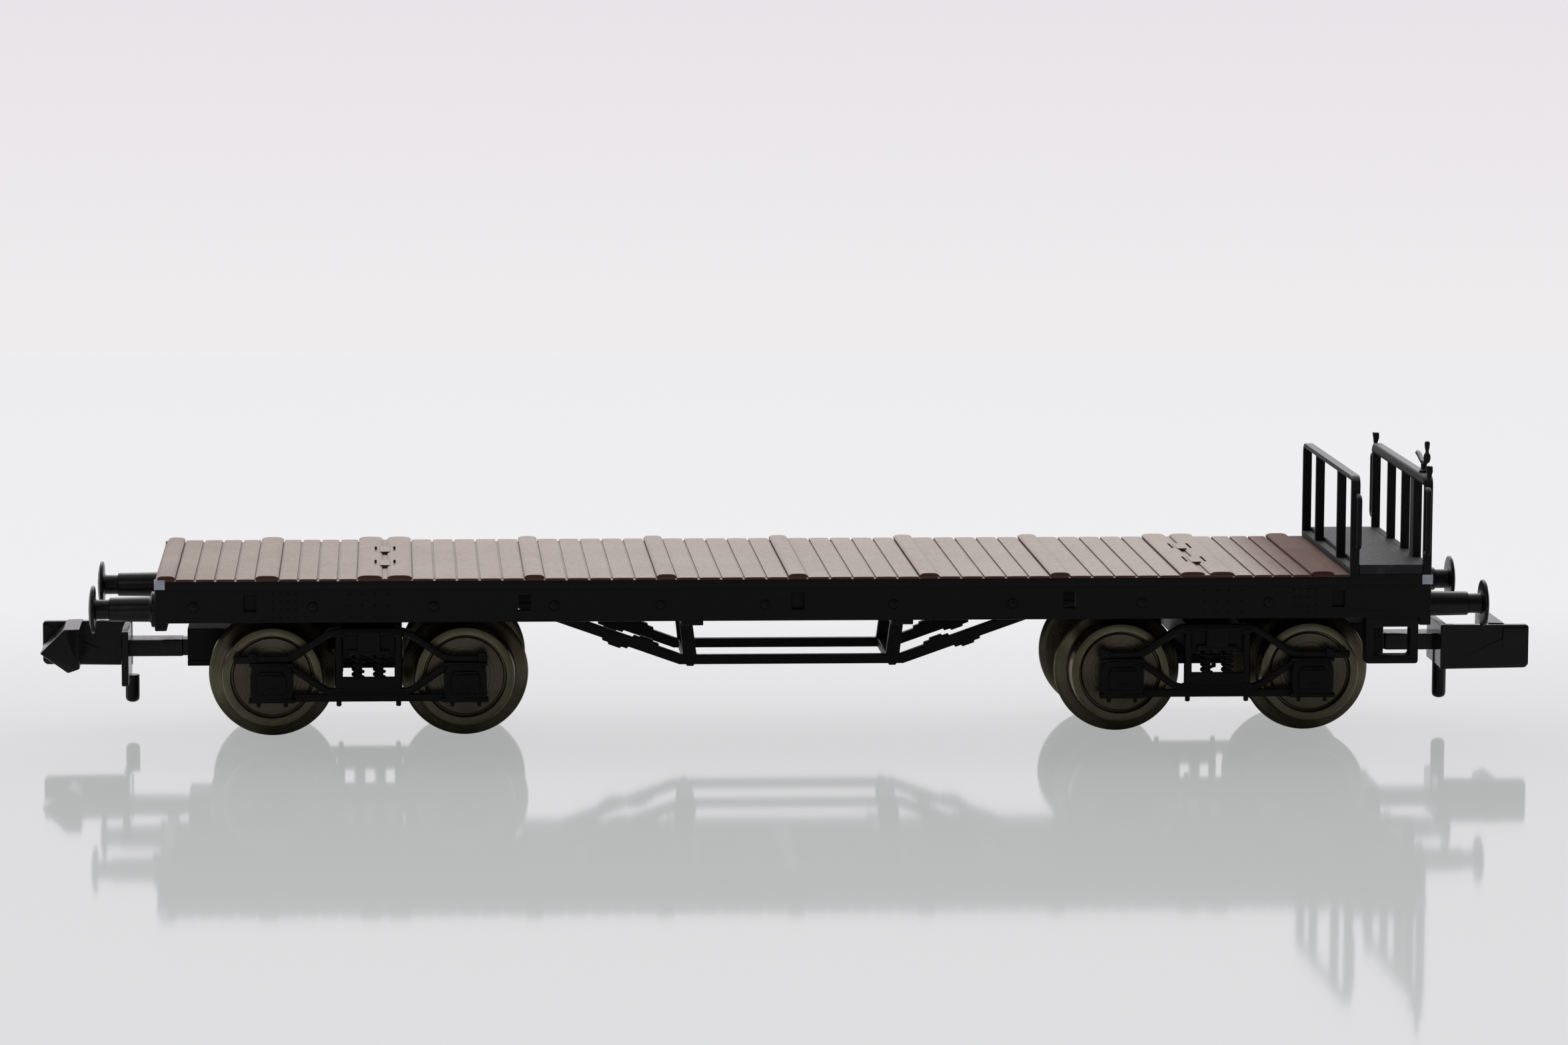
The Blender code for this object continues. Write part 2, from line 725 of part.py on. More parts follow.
def build_bogie_frame(name):
    start, end, half, low, high = POCKET
    low_z, high_z = TRANSOM_Z
    frame = blocks(name, [(-TRANSOM_X, TRANSOM_X, -SIDE_IN, SIDE_IN, low_z, high_z)])
    join(frame, blocks("tool_tongue_" + name, [
        (TRANSOM_X - 0.30, start + 0.30, -1.70, 1.70, 4.75, 6.40),
    ]))
    join(frame, blocks("tool_pocket_" + name, [(start, end, -half, half, low, high)]))
    inside = half - POCKET_WALL
    cut(frame, blocks("tool_channel_" + name, [
        (start + 0.30, end + 0.1, -inside, inside, low - 0.1, POCKET_ROOF),
    ]))
    bore = SCREW_R + RUN
    cut(frame, pegs("tool_bore_" + name, [
        ((0.0, 0.0, low_z - 0.1), "Z", high_z - low_z + 0.2, bore, bore),
    ], 16))
    cut(frame, pegs("tool_counterbore_" + name, [
        ((0.0, 0.0, low_z - 0.1), "Z", 0.60, 1.30, 1.30),
    ], 16))
    return finish(frame, "bogie_black")


def build_screw(name):
    low = TRANSOM_Z[0] + 0.03
    screw = turned(name, [
        (0.0, 8.20), (0.50, 8.20), (SCREW_R, 8.10), (SCREW_R, low + 0.40),
        (1.20, low + 0.40), (1.20, low + 0.06), (1.12, low), (0.0, low),
    ], "Z", (0.0, 0.0, 0.0), 12)
    cut(screw, blocks("tool_slot_" + name, [(-1.4, 1.4, -0.15, 0.15, low - 0.1, low + 0.14)]))
    return finish(screw, "steel")


def build_axle(name, x):
    profile = [
        (0.0, AXLE_TIP), (AXLE_R, AXLE_TIP - 0.65), (AXLE_R, -AXLE_TIP + 0.65),
        (0.0, -AXLE_TIP),
    ]
    return finish(turned(name, profile, "Y", (x, 0.0, AXLE_Z), WHEEL_STEPS), "wheel_metal")


def build_wheel(name, x, side):
    """Wheel with a flange; its profile runs from the outer face to the back."""
    bore = AXLE_R + PRESS
    profile = [
        (bore, 5.85), (1.00, 5.85), (1.12, 5.70), (2.28, 5.70), (2.40, WHEEL_FACE),
        (2.90, WHEEL_FACE), (3.00, 4.30), (WHEEL_R, 3.98), (3.50, WHEEL_BACK),
        (bore, WHEEL_BACK),
    ]
    wheel = turned(name, profile, "Y", (x, 0.0, AXLE_Z), WHEEL_STEPS, closed=True)
    if side < 0:
        wheel.rotation_euler = (math.pi / 2, 0.0, 0.0)
    return finish(wheel, "wheel_metal")


def build_coupler_spring(name):
    turns = 3
    radius = 0.37
    half_wire = 0.08
    start = POCKET[0] + 0.30 + half_wire
    end = PIN_X - 0.55 - 0.15 - half_wire
    points = []
    steps = turns * 12
    for step in range(steps + 1):
        angle = step * 2 * math.pi / 12
        share = step / steps
        points.append((start + (end - start) * share, radius * math.cos(angle),
                       PIN_Z + radius * math.sin(angle)))
    return finish(wire(name, points, half_wire, 0), "steel")


def build_coupler_pin(name):
    """Cross pin with square cheeks that guide it between the pocket's floor and roof."""
    low = POCKET[3] + 0.02
    high = POCKET_ROOF - 0.02
    cheeks = []
    for side in (-1, 1):
        cheeks.append((PIN_X - 0.50, PIN_X + 0.50, side * 0.80, side * 1.45, low, high))
    pin = pegs(name, [((PIN_X, -1.45, PIN_Z), "Y", 2.90, PIN_R, PIN_R)], 12)
    set_pivot(pin, (PIN_X, 0.0, PIN_Z))
    join(pin, blocks("tool_cheeks_" + name, cheeks))
    return finish(pin, "steel")


def build_coupler(name):
    """Hook coupler: shank and eye, open box head with a wedge bar, and trip pin."""
    shank = blocks(name, [(PIN_X, 11.30, -0.75, 0.75, 4.31, 5.27)])
    set_pivot(shank, (PIN_X, 0.0, PIN_Z))
    join(shank, pegs("tool_eye_" + name, [
        ((PIN_X, -0.76, PIN_Z), "Y", 1.52, 0.55, 0.55),
    ], 16))
    join(shank, blocks("tool_wide_shank_" + name, [
        (11.00, HEAD_BACK + 0.20, -0.95, 0.95, 4.29, 5.29),
    ]))
    join(shank, blocks("tool_back_" + name, [
        (HEAD_BACK, HEAD_BACK + 0.40, -HEAD_Y + 0.10, HEAD_Y, 3.35, 6.00),
    ]))
    wall = -HEAD_Y + 0.45
    join(shank, plate("tool_wall_" + name, "XZ", -HEAD_Y, wall, [[
        (HEAD_BACK + 0.04, 3.32), (HEAD_FRONT - 0.20, 3.40), (HEAD_FRONT, 3.60),
        (HEAD_FRONT, 5.88), (HEAD_FRONT - 0.12, 6.00), (HEAD_BACK + 0.04, 6.03),
    ]]))
    join(shank, blocks("tool_block_" + name, [
        (HEAD_FRONT - 1.60, HEAD_FRONT - 0.05, -HEAD_Y - 0.08, -HEAD_Y + 0.20, 4.70, 5.85),
    ]))
    join(shank, plate("tool_bar_" + name, "XZ", wall - 0.20, 2.20, [[
        (HEAD_FRONT - 0.06, 4.66), (HEAD_FRONT - 1.50, 6.10), (HEAD_FRONT - 2.40, 6.12),
        (HEAD_FRONT - 2.40, 3.72), (HEAD_FRONT - 1.70, 3.48),
    ]]))
    trip = turned("tool_trip_" + name, [
        (0.0, 4.60), (0.42, 4.60), (0.42, 1.58), (0.34, 1.34), (0.17, 1.25), (0.0, 1.25),
    ], "Z", (HEAD_BACK + 0.21, 0.0, 0.0), 12)
    join(shank, trip)
    bore = PIN_R + RUN
    cut(shank, pegs("tool_eye_bore_" + name, [
        ((PIN_X, -1.0, PIN_Z), "Y", 2.00, bore, bore),
    ], 12))
    return finish(shank, "bogie_black")


def build_bogie(word, end):
    pivot = add("bogie_pivot_" + word, None)
    pivot.location = (end * PIVOT_X * MM, 0.0, 0.0)
    if end < 0:
        pivot.rotation_euler = (0.0, 0.0, math.pi)
    pieces = [
        build_bogie_frame("bogie_frame_" + word),
        build_side("bogie_side_near_" + word, -end),
        build_side("bogie_side_far_" + word, end),
        build_screw("pivot_screw_" + word),
        build_coupler_spring("coupler_spring_" + word),
        build_coupler_pin("coupler_pin_" + word),
        build_coupler("coupler_" + word),
    ]
    start, stop, half, low, _ = POCKET
    cover = blocks("pocket_cover_" + word, [(start, stop, -half, half, 3.88, low)])
    pieces.append(finish(cover, "bogie_black"))
    for place, x in (("outer", AXLE_X), ("inner", -AXLE_X)):
        tail = "_%s_%s" % (place, word)
        pieces.append(build_axle("axle" + tail, x))
        pieces.append(build_wheel("wheel_near" + tail, x, -end))
        pieces.append(build_wheel("wheel_far" + tail, x, end))
    for piece in pieces:
        carry(piece, pivot)


def build_car():
    build_underframe()
    build_deck()
    build_trussing()
    for word, end in (("left", -1), ("right", 1)):
        build_buffer("buffer_near_" + word, end, -BUFFER_Y)
        build_buffer("buffer_far_" + word, end, BUFFER_Y)
        build_bogie(word, end)
    build_platform()


build_car()
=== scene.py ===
"""Looks of the model flat car: real-mesh dressing, materials, light and camera."""
import math

import bmesh
import bpy
from mathutils import Matrix, Vector
from mathutils.geometry import tessellate_polygon


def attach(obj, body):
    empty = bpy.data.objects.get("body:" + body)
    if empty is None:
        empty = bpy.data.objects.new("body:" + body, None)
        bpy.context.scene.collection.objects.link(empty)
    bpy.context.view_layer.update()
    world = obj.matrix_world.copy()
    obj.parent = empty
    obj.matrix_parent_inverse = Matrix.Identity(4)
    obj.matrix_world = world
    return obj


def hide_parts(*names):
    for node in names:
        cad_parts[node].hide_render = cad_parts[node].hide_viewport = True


MM = 0.001
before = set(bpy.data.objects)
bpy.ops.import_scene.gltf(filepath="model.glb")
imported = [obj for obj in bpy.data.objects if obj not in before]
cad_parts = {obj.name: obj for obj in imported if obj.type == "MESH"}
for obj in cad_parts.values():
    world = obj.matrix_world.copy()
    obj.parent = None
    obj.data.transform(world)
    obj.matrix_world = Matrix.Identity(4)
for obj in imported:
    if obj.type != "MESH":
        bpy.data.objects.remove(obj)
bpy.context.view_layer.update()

# Millimetres in the car's frame, +X to the right and -Y to the viewer; AXLE_X is from the pivot.
ENDS = (("left", -1), ("right", 1))
SIDES = (("near", -1), ("far", 1))
PIVOT_X = 25.0
AXLE_X = 5.65
AXLE_Z = 3.75
BUFFER_Y = 5.47
BUFFER_Z = 7.74
COUPLER_Z = 4.79

# ---------------------------------------------------------------- materials


class Tree:
    """Adds nodes; a value is another node's output or the socket's own setting."""

    def __init__(self, tree):
        self.tree = tree

    def add(self, kind, **settings):
        node = self.tree.nodes.new(kind)
        for key, value in settings.items():
            setattr(node, key, value)
        return node

    def feed(self, socket, value):
        if isinstance(value, bpy.types.NodeSocket):
            self.tree.links.new(value, socket)
        else:
            socket.default_value = value

    def axis(self, vector, name):
        split = self.add("ShaderNodeSeparateXYZ")
        self.feed(split.inputs[0], vector)
        return split.outputs[name]

    def maths(self, kind, *values, clamp=False):
        node = self.add("ShaderNodeMath", operation=kind, use_clamp=clamp)
        for socket, value in zip(node.inputs, values):
            self.feed(socket, value)
        return node.outputs[0]

    def span(self, value, low, high, start=0.3, end=0.7, kind="LINEAR"):
        """Carry a value from the range start to end over to the range low to high."""
        node = self.add("ShaderNodeMapRange", interpolation_type=kind)
        names = ("Value", "From Min", "From Max", "To Min", "To Max")
        for name, setting in zip(names, (value, start, end, low, high)):
            self.feed(node.inputs[name], setting)
        return node.outputs["Result"]

    def mixed(self, share, first, second):
        """Mix of two colours."""
        node = self.add("ShaderNodeMix", data_type="RGBA")
        for place, value in ((0, share), (6, first), (7, second)):
            self.feed(node.inputs[place], value)
        return node.outputs[2]

    def blended(self, share, first, second):
        """Mix of two shaders."""
        node = self.add("ShaderNodeMixShader")
        for socket, value in zip(node.inputs, (share, first, second)):
            self.feed(socket, value)
        return node.outputs[0]


class Nodes(Tree):
    """The nodes of one material."""

    def __init__(self, name):
        self.material = bpy.data.materials.new(name)
        self.material.use_nodes = True
        super().__init__(self.material.node_tree)
        self.shader = self.tree.nodes["Principled BSDF"]
        self.place = self.add("ShaderNodeTexCoord").outputs["Object"]

    def noise(self, scale, detail, rough=0.55):
        node = self.add("ShaderNodeTexNoise")
        node.inputs["Scale"].default_value = scale
        node.inputs["Detail"].default_value = detail
        node.inputs["Roughness"].default_value = rough
        self.feed(node.inputs["Vector"], self.place)
        return node.outputs["Fac"]

    def ramp(self, value, stops):
        node = self.add("ShaderNodeValToRGB")
        ramp = node.color_ramp
        while len(ramp.elements) < len(stops):
            ramp.elements.new(0.5)
        for element, (place, colour) in zip(ramp.elements, stops):
            element.position = place
            element.color = (*colour, 1.0)
        self.feed(node.inputs["Fac"], value)
        return node.outputs["Color"]

    def facing_up(self, start, end):
        """0 on upright faces and 1 on level ones, passing over between two slopes."""
        normal = self.add("ShaderNodeNewGeometry").outputs["Normal"]
        return self.span(self.axis(normal, "Z"), 0.0, 1.0, start, end)

    def bump(self, height, depth, strength):
        node = self.add("ShaderNodeBump")
        node.inputs["Strength"].default_value = strength
        node.inputs["Distance"].default_value = depth
        self.feed(node.inputs["Height"], height)
        return node.outputs["Normal"]

    def finish(self, colour, roughness, normal, **fixed):
        self.feed(self.shader.inputs["Base Color"], colour)
        self.feed(self.shader.inputs["Roughness"], roughness)
        self.feed(self.shader.inputs["Normal"], normal)
        for key, value in fixed.items():
            self.shader.inputs[key.replace("_", " ")].default_value = value
        return self.material


def black_paint(name, dark, light, rough, grain, shine=0.20):
    """Satin black: faint mottling, dust and the fine tooth of a sprayed or moulded skin."""
    n = Nodes(name)
    mottle = n.noise(420.0, 4.0)
    dust = n.noise(5200.0, 2.0, 0.7)
    colour = n.ramp(mottle, ((0.30, dark), (0.62, dark), (0.85, light)))
    roughness = n.span(dust, rough - 0.06, rough + 0.10)
    normal = n.bump(n.noise(grain, 2.0), 0.000012, 0.35)
    return n.finish(colour, roughness, normal, Specular_IOR_Level=shine)


def rail_paint():
    """Black railings, with a painted sheen of pale grey on the upward faces along their tops."""
    n = Nodes("railing_black_paint")
    mottle = n.noise(420.0, 4.0)
    dust = n.noise(5200.0, 2.0, 0.7)
    # Painted sheen: upward faces high on the railings get a pale grey colour and a lower
    # roughness.
    high = n.span(n.axis(n.place, "Z"), 0.10, 1.0, 0.0135, 0.0150)
    painted_top_sheen = n.maths("MULTIPLY", n.facing_up(0.45, 0.85), high)
    black = n.ramp(mottle, ((0.30, (0.004, 0.004, 0.0045)), (0.85, (0.008, 0.008, 0.009))))
    painted_sheen_grey = n.ramp(dust, ((0.30, (0.110, 0.105, 0.105)), (0.70, (0.190, 0.182, 0.182))))
    roughness = n.maths("MULTIPLY_ADD", painted_top_sheen, -0.26, n.span(dust, 0.58, 0.70))
    normal = n.bump(n.noise(6000.0, 2.0), 0.000008, 0.25)
    return n.finish(n.mixed(painted_top_sheen, black, painted_sheen_grey), roughness, normal, Specular_IOR_Level=0.20)


def plank_brown():
    """Moulded planks: matt reddish brown under a pale layer that is partly dust and partly painted
    sheen, thin at the right end where a painted dark reflection of the railing takes its place.
    """
    n = Nodes("deck_planks_brown")
    speck = n.noise(3200.0, 4.0, 0.72)
    along = n.span(n.axis(n.place, "X"), 0.0, 1.0, -0.038, 0.038)
    # Partly dust, partly painted sheen: weaker at the left end, and almost gone past x = 30 mm, a
    # painted dark reflection of the railing there.
    levels = ((0.00, 0.62), (0.16, 0.86), (0.78, 1.0), (0.85, 0.88), (0.90, 0.02))
    dust_and_sheen_by_x = n.ramp(along, [(place, (level, level, level)) for place, level in levels])
    bare_brown = n.ramp(speck, (
        (0.32, (0.112, 0.050, 0.032)), (0.50, (0.134, 0.063, 0.042)),
        (0.70, (0.165, 0.084, 0.058)),
    ))
    dust_and_sheen_colour = n.ramp(speck, (
        (0.30, (0.270, 0.196, 0.148)), (0.50, (0.394, 0.302, 0.237)),
        (0.72, (0.480, 0.384, 0.312)),
    ))
    blotch = n.maths("MULTIPLY_ADD", n.noise(150.0, 4.0, 0.6), 0.4, -0.2)
    dust_and_sheen_amount = n.maths("ADD", dust_and_sheen_by_x, blotch, clamp=True)
    # Upright faces: a red-brown darker than the bare planks, a painted shade on the faces turned
    # from the light.
    side = (0.085, 0.030, 0.021, 1.0)
    colour = n.mixed(n.facing_up(0.35, 0.75), side, n.mixed(dust_and_sheen_amount, bare_brown, dust_and_sheen_colour))
    matt = n.maths("MULTIPLY_ADD", dust_and_sheen_amount, -0.40, 0.40)
    roughness = n.maths("ADD", n.span(speck, 0.36, 0.46), matt, clamp=True)
    normal = n.bump(n.noise(7000.0, 3.0), 0.000010, 0.30)
    return n.finish(colour, roughness, normal, Specular_IOR_Level=0.32)


def wheel_metal():
    """Chemically darkened turned brass: fine rings, an olive rim and a browner face."""
    n = Nodes("wheel_dark_metal")
    beyond_pivot = n.maths("SUBTRACT", n.maths("ABSOLUTE", n.axis(n.place, "X")), PIVOT_X * MM)
    along = n.maths("SUBTRACT", n.maths("ABSOLUTE", beyond_pivot), AXLE_X * MM)
    up = n.maths("SUBTRACT", n.axis(n.place, "Z"), AXLE_Z * MM)
    squares = n.maths("ADD", n.maths("POWER", along, 2.0), n.maths("POWER", up, 2.0))
    radius = n.maths("SQRT", squares)
    rings = n.add("ShaderNodeTexNoise", noise_dimensions="1D")
    rings.inputs["Scale"].default_value = 9000.0
    rings.inputs["Detail"].default_value = 3.0
    n.feed(rings.inputs["W"], radius)
    marks = rings.outputs["Fac"]
    patch = n.noise(500.0, 4.0, 0.6)
    face = n.ramp(patch, ((0.32, (0.098, 0.080, 0.056)), (0.68, (0.150, 0.126, 0.090))))
    rim = n.ramp(patch, ((0.32, (0.128, 0.112, 0.070)), (0.68, (0.190, 0.170, 0.112))))
    colour = n.mixed(n.span(radius, 0.0, 1.0, 0.00232, 0.00244), face, rim)
    roughness = n.span(marks, 0.22, 0.36)
    return n.finish(colour, roughness, n.bump(marks, 0.000006, 0.25), Metallic=0.9)


def plain_metal(name, dark, light, rough):
    """Bright steel with faint cloudiness."""
    n = Nodes(name)
    fine = n.noise(3000.0, 3.0)
    colour = n.ramp(n.noise(650.0, 4.0, 0.6), ((0.32, dark), (0.68, light)))
    roughness = n.span(fine, rough - 0.06, rough + 0.06)
    return n.finish(colour, roughness, n.bump(fine, 0.000005, 0.2), Metallic=1.0)


def pale_paint():
    """Bluish light grey of the corner patches."""
    n = Nodes("corner_patch_paint")
    speck = n.noise(3000.0, 3.0)
    colour = n.ramp(speck, ((0.35, (0.43, 0.455, 0.54)), (0.65, (0.55, 0.575, 0.66))))
    roughness = n.span(speck, 0.45, 0.6)
    return n.finish(colour, roughness, n.bump(speck, 0.00001, 0.3))


BLACK = black_paint("frame_black_paint", (0.0030, 0.0028, 0.0030), (0.0060, 0.0058, 0.0060), 0.40,
                    7000.0)
RAIL = rail_paint()
FLOOR = black_paint("platform_floor_grey", (0.022, 0.022, 0.024), (0.060, 0.060, 0.064), 0.55,
                    2400.0)
PLASTIC = black_paint("bogie_black_plastic", (0.0030, 0.0028, 0.0028), (0.0060, 0.0058, 0.0058),
                      0.40, 8000.0)
GLOSSY = black_paint("coupler_glossy_plastic", (0.0032, 0.0030, 0.0030), (0.0062, 0.0060, 0.0060),
                     0.15, 8000.0, 0.30)
SATIN = black_paint("buffer_satin_black", (0.0032, 0.0030, 0.0030), (0.0062, 0.0060, 0.0060), 0.27,
                    7000.0, 0.30)
BROWN = plank_brown()
WHEEL = wheel_metal()
STEEL = plain_metal("plain_steel", (0.28, 0.28, 0.28), (0.46, 0.46, 0.47), 0.34)
PALE = pale_paint()

# ---------------------------------------------------------------- mesh helpers


def link_new(name, bm):
    mesh = bpy.data.meshes.new(name)
    bm.to_mesh(mesh)
    bm.free()
    obj = bpy.data.objects.new(name, mesh)
    bpy.context.scene.collection.objects.link(obj)
    return obj


def dress(obj, material, body, slot, *nodes):
    """Give a piece its material and body, and hide the CAD nodes that it stands for; slot is not
    used.
    """
    obj.data.materials.clear()
    obj.data.materials.append(material)
    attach(obj, body)
    if nodes:
        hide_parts(*nodes)


def shade(obj, angle):
    """Shade smooth, with a sharp edge where faces meet at more than an angle."""
    for face in obj.data.polygons:
        face.use_smooth = True
    obj.data.set_sharp_from_angle(angle=math.radians(angle))


def shaded(name, bm, angle):
    """Object from a mesh, its faces turned outwards and shaded smooth."""
    bmesh.ops.recalc_face_normals(bm, faces=bm.faces)
    obj = link_new(name, bm)
    shade(obj, angle)
    return obj


def weigh_normals(obj):
    weigh = obj.modifiers.new("normals", "WEIGHTED_NORMAL")
    weigh.keep_sharp = True


def soften(obj, width):
    """Round the edges with real geometry and even out the shading."""
    bevel = obj.modifiers.new("edges", "BEVEL")
    bevel.width = width * MM
    bevel.segments = 2
    bevel.limit_method = "ANGLE"
    bevel.angle_limit = math.radians(34.0)
    bevel.miter_outer = "MITER_ARC"
    weigh_normals(obj)


def copied(node, name, width):
    """A copy of a CAD node with its flat faces joined up and its edges rounded."""
    bm = bmesh.new()
    bm.from_mesh(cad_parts[node].data)
    bmesh.ops.remove_doubles(bm, verts=bm.verts, dist=3e-7)
    flat = math.radians(0.6)
    bmesh.ops.dissolve_limit(bm, angle_limit=flat, verts=bm.verts, edges=bm.edges)
    obj = link_new(name, bm)
    shade(obj, 35.0)
    soften(obj, width)
    return obj


def eased(loop, reach, steps=2):
    """Loop with its sharp corners rounded off."""
    points = [Vector(p) for p in loop]
    out = []
    for index, corner in enumerate(points):
        before = points[index - 1] - corner
        after = points[(index + 1) % len(points)] - corner
        if before.angle(after) > math.radians(150.0):
            out.append(corner)
            continue
        start = corner + before.normalized() * min(reach, before.length * 0.4)
        end = corner + after.normalized() * min(reach, after.length * 0.4)
        for step in range(steps + 1):
            share = step / steps
            out.append(start.lerp(corner, share).lerp(corner.lerp(end, share), share))
    return out


def signed_area(loop):
    return sum(a.x * b.y - b.x * a.y for a, b in zip(loop, loop[1:] + loop[:1])) / 2


def moved_in(loop, reach):
    """Loop moved to its left, which is into the material."""
    out = []
    for index, point in enumerate(loop):
        first = (point - loop[index - 1]).normalized()
        second = (loop[(index + 1) % len(loop)] - point).normalized()
        one = Vector((-first.y, first.x))
        other = Vector((-second.y, second.x))
        middle = (one + other).normalized()
        out.append(point + middle * reach / max(middle.dot(one), 0.4))
    return out


PLANES = {
    "XY": lambda a, b, c: Vector((a, b, c)),
    "XZ": lambda a, b, c: Vector((a, c, b)),
    "YZ": lambda a, b, c: Vector((c, a, b)),
}


def plate_into(bm, plane, start, end, outlines, edge=0.05, corner=None):
    """Add a flat piece with rounded edges; outlines after the first are its openings."""
    low, high = sorted((start, end))
    place = PLANES[plane]
    loops = []
    for index, outline in enumerate(outlines):
        loop = eased(outline, edge if corner is None else corner)
        if (signed_area(loop) > 0) == (index > 0):
            loop.reverse()
        loops.append(loop)
    turns = [(1.0, 0.0), (0.293, 0.293), (0.0, 1.0)]
    levels = [(inset, low + drop * edge) for inset, drop in turns]
    levels += [(inset, high - drop * edge) for inset, drop in reversed(turns)]
    caps = ([], [])
    for loop in loops:
        rings = []
        for inset, level in levels:
            moved = moved_in(loop, inset * edge) if inset else loop
            rings.append([bm.verts.new(place(p.x, p.y, level) * MM) for p in moved])
        for first, second in zip(rings, rings[1:]):
            for step in range(len(first)):
                after = (step + 1) % len(first)
                bm.faces.new((first[step], first[after], second[after], second[step]))
        caps[0].append(rings[0])
        caps[1].append(rings[-1])
    flat = [[Vector((p.x, p.y, 0.0)) for p in moved_in(loop, edge)] for loop in loops]
    for corners in tessellate_polygon(flat):
        for cap in caps:
            verts = [vert for ring in cap for vert in ring]
            bm.faces.new([verts[index] for index in corners])


def box_into(bm, x0, x1, y0, y1, z0, z1, edge=0.05):
    """Add a block with every edge and corner rounded."""
    size = Vector((abs(x1 - x0), abs(y1 - y0), abs(z1 - z0)))
    edge = min(edge, min(size) * 0.3)
    centre = Vector((x0 + x1, y0 + y1, z0 + z1)) / 2
    matrix = Matrix.Translation(centre * MM) @ Matrix.Diagonal((*(size * MM), 1.0))
    made = bmesh.ops.create_cube(bm, size=1.0, matrix=matrix)
    edges = list({e for vert in made["verts"] for e in vert.link_edges})
    bmesh.ops.bevel(bm, geom=edges, offset=edge * MM, segments=2, profile=0.5,
                    affect="EDGES", clamp_overlap=True)


def made_of(name, bm):
    """Object from a mesh of rounded blocks, plates and turned shapes."""
    obj = shaded(name, bm, 38.0)
    weigh_normals(obj)
    return obj


def rectangle(x0, x1, z0, z1):
    return [(x0, z0), (x1, z0), (x1, z1), (x0, z1)]


def bogie_matrix(end):
    """From a bogie's own frame, outer end along +X, to the car's."""
    turn = Matrix.Rotation(0.0 if end > 0 else math.pi, 4, "Z")
    return Matrix.Translation((end * PIVOT_X * MM, 0.0, 0.0)) @ turn


def turn_matrix(axis):
    """Turns a shape whose axis is local Z so that the axis lies along axis."""
    if axis == "X":
        return Matrix.Rotation(math.pi / 2, 4, "Y")
    if axis == "Y":
        return Matrix.Rotation(-math.pi / 2, 4, "X")
    return Matrix.Identity(4)


def lathe_into(bm, profile, matrix, steps, closed=False):
    """Add a turned shape; profile is (radius, place along the axis) in millimetres."""
    rings = []
    for radius, along in profile:
        if radius < 1e-6:
            rings.append([bm.verts.new(matrix @ Vector((0.0, 0.0, along * MM)))])
            continue
        ring = []
        for step in range(steps):
            angle = 2 * math.pi * step / steps
            point = Vector((radius * math.cos(angle), radius * math.sin(angle), along)) * MM
            ring.append(bm.verts.new(matrix @ point))
        rings.append(ring)
    pairs = list(zip(rings, rings[1:]))
    if closed:
        pairs.append((rings[-1], rings[0]))
    for first, second in pairs:
        for step in range(steps):
            after = (step + 1) % steps
            if len(first) == 1:
                bm.faces.new((first[0], second[after], second[step]))
            elif len(second) == 1:
                bm.faces.new((first[step], first[after], second[0]))
            else:
                bm.faces.new((first[step], first[after], second[after], second[step]))


def lathe(name, profile, axis, centre, steps, closed=False, flip=False):
    """Turned piece about an axis through a centre; flip turns it end for end."""
    bm = bmesh.new()
    matrix = Matrix.Translation(Vector(centre) * MM) @ turn_matrix(axis)
    if flip:
        matrix = matrix @ Matrix.Rotation(math.pi, 4, "X")
    lathe_into(bm, profile, matrix, steps, closed)
    return shaded(name, bm, 28.0)


def tube_into(bm, path, radius, sides):
    """Add a round rod along a path of points in millimetres, with flat ends."""
    points = [Vector(p) for p in path]
    rings = []
    side = None
    for index, point in enumerate(points):
        before = points[max(index - 1, 0)]
        after = points[min(index + 1, len(points) - 1)]
        along = (after - before).normalized()
        if side is None:
            side = along.orthogonal().normalized()
        side = (side - along * side.dot(along)).normalized()
        other = along.cross(side)
        ring = []
        for step in range(sides):
            angle = 2 * math.pi * step / sides
            offset = (side * math.cos(angle) + other * math.sin(angle)) * radius
            ring.append(bm.verts.new((point + offset) * MM))
        rings.append(ring)
    for first, second in zip(rings, rings[1:]):
        for step in range(sides):
            after = (step + 1) % sides
            bm.faces.new((first[step], first[after], second[after], second[step]))
    bm.faces.new(list(reversed(rings[0])))
    bm.faces.new(rings[-1])


def tube(name, path, radius, sides):
    bm = bmesh.new()
    tube_into(bm, path, radius, sides)
    return shaded(name, bm, 40.0)


def prism_into(bm, outline, low, high):
    """Add a solid with an outline in X and Z, from y = low to y = high."""
    near = [bm.verts.new(Vector((x, low, z)) * MM) for x, z in outline]
    far = [bm.verts.new(Vector((x, high, z)) * MM) for x, z in outline]
    count = len(outline)
    for step in range(count):
        after = (step + 1) % count
        bm.faces.new((near[step], near[after], far[after], far[step]))
    bm.faces.new(list(reversed(near)))
    bm.faces.new(far)


# ---------------------------------------------------------------- deck

DECK_X = 37.25
LIP_Y = 9.05
DECK_LOW = 9.82
DECK_TOP = 9.96
BOARD_TOP = 10.15
BOARD_Y = 8.95
# Start, end and count of the planks in each bay; the other half of the deck mirrors them.
BAYS = ((0.54, 7.13, 5), (8.23, 14.80, 5), (15.92, 22.48, 5), (25.60, 30.20, 4),
        (31.50, 36.17, 4))
CLIP_X = 24.03
CLIP_Y = 3.10
# Middle and width of each raised board.
BOARDS = (
    (-36.67, 1.00), (-30.85, 1.31), (-24.90, 1.40), (-23.18, 1.40), (-15.36, 1.12),
    (-7.68, 1.10), (0.0, 1.08), (7.68, 1.10), (15.36, 1.12), (23.18, 1.40),
    (24.90, 1.40), (30.85, 1.31),
)


def plank_edges():
    edges = [-DECK_X, DECK_X]
    for start, end, count in BAYS:
        for step in range(count + 1):
            place = start + (end - start) * step / count
            edges.extend((place, -place))
    return sorted(edges)


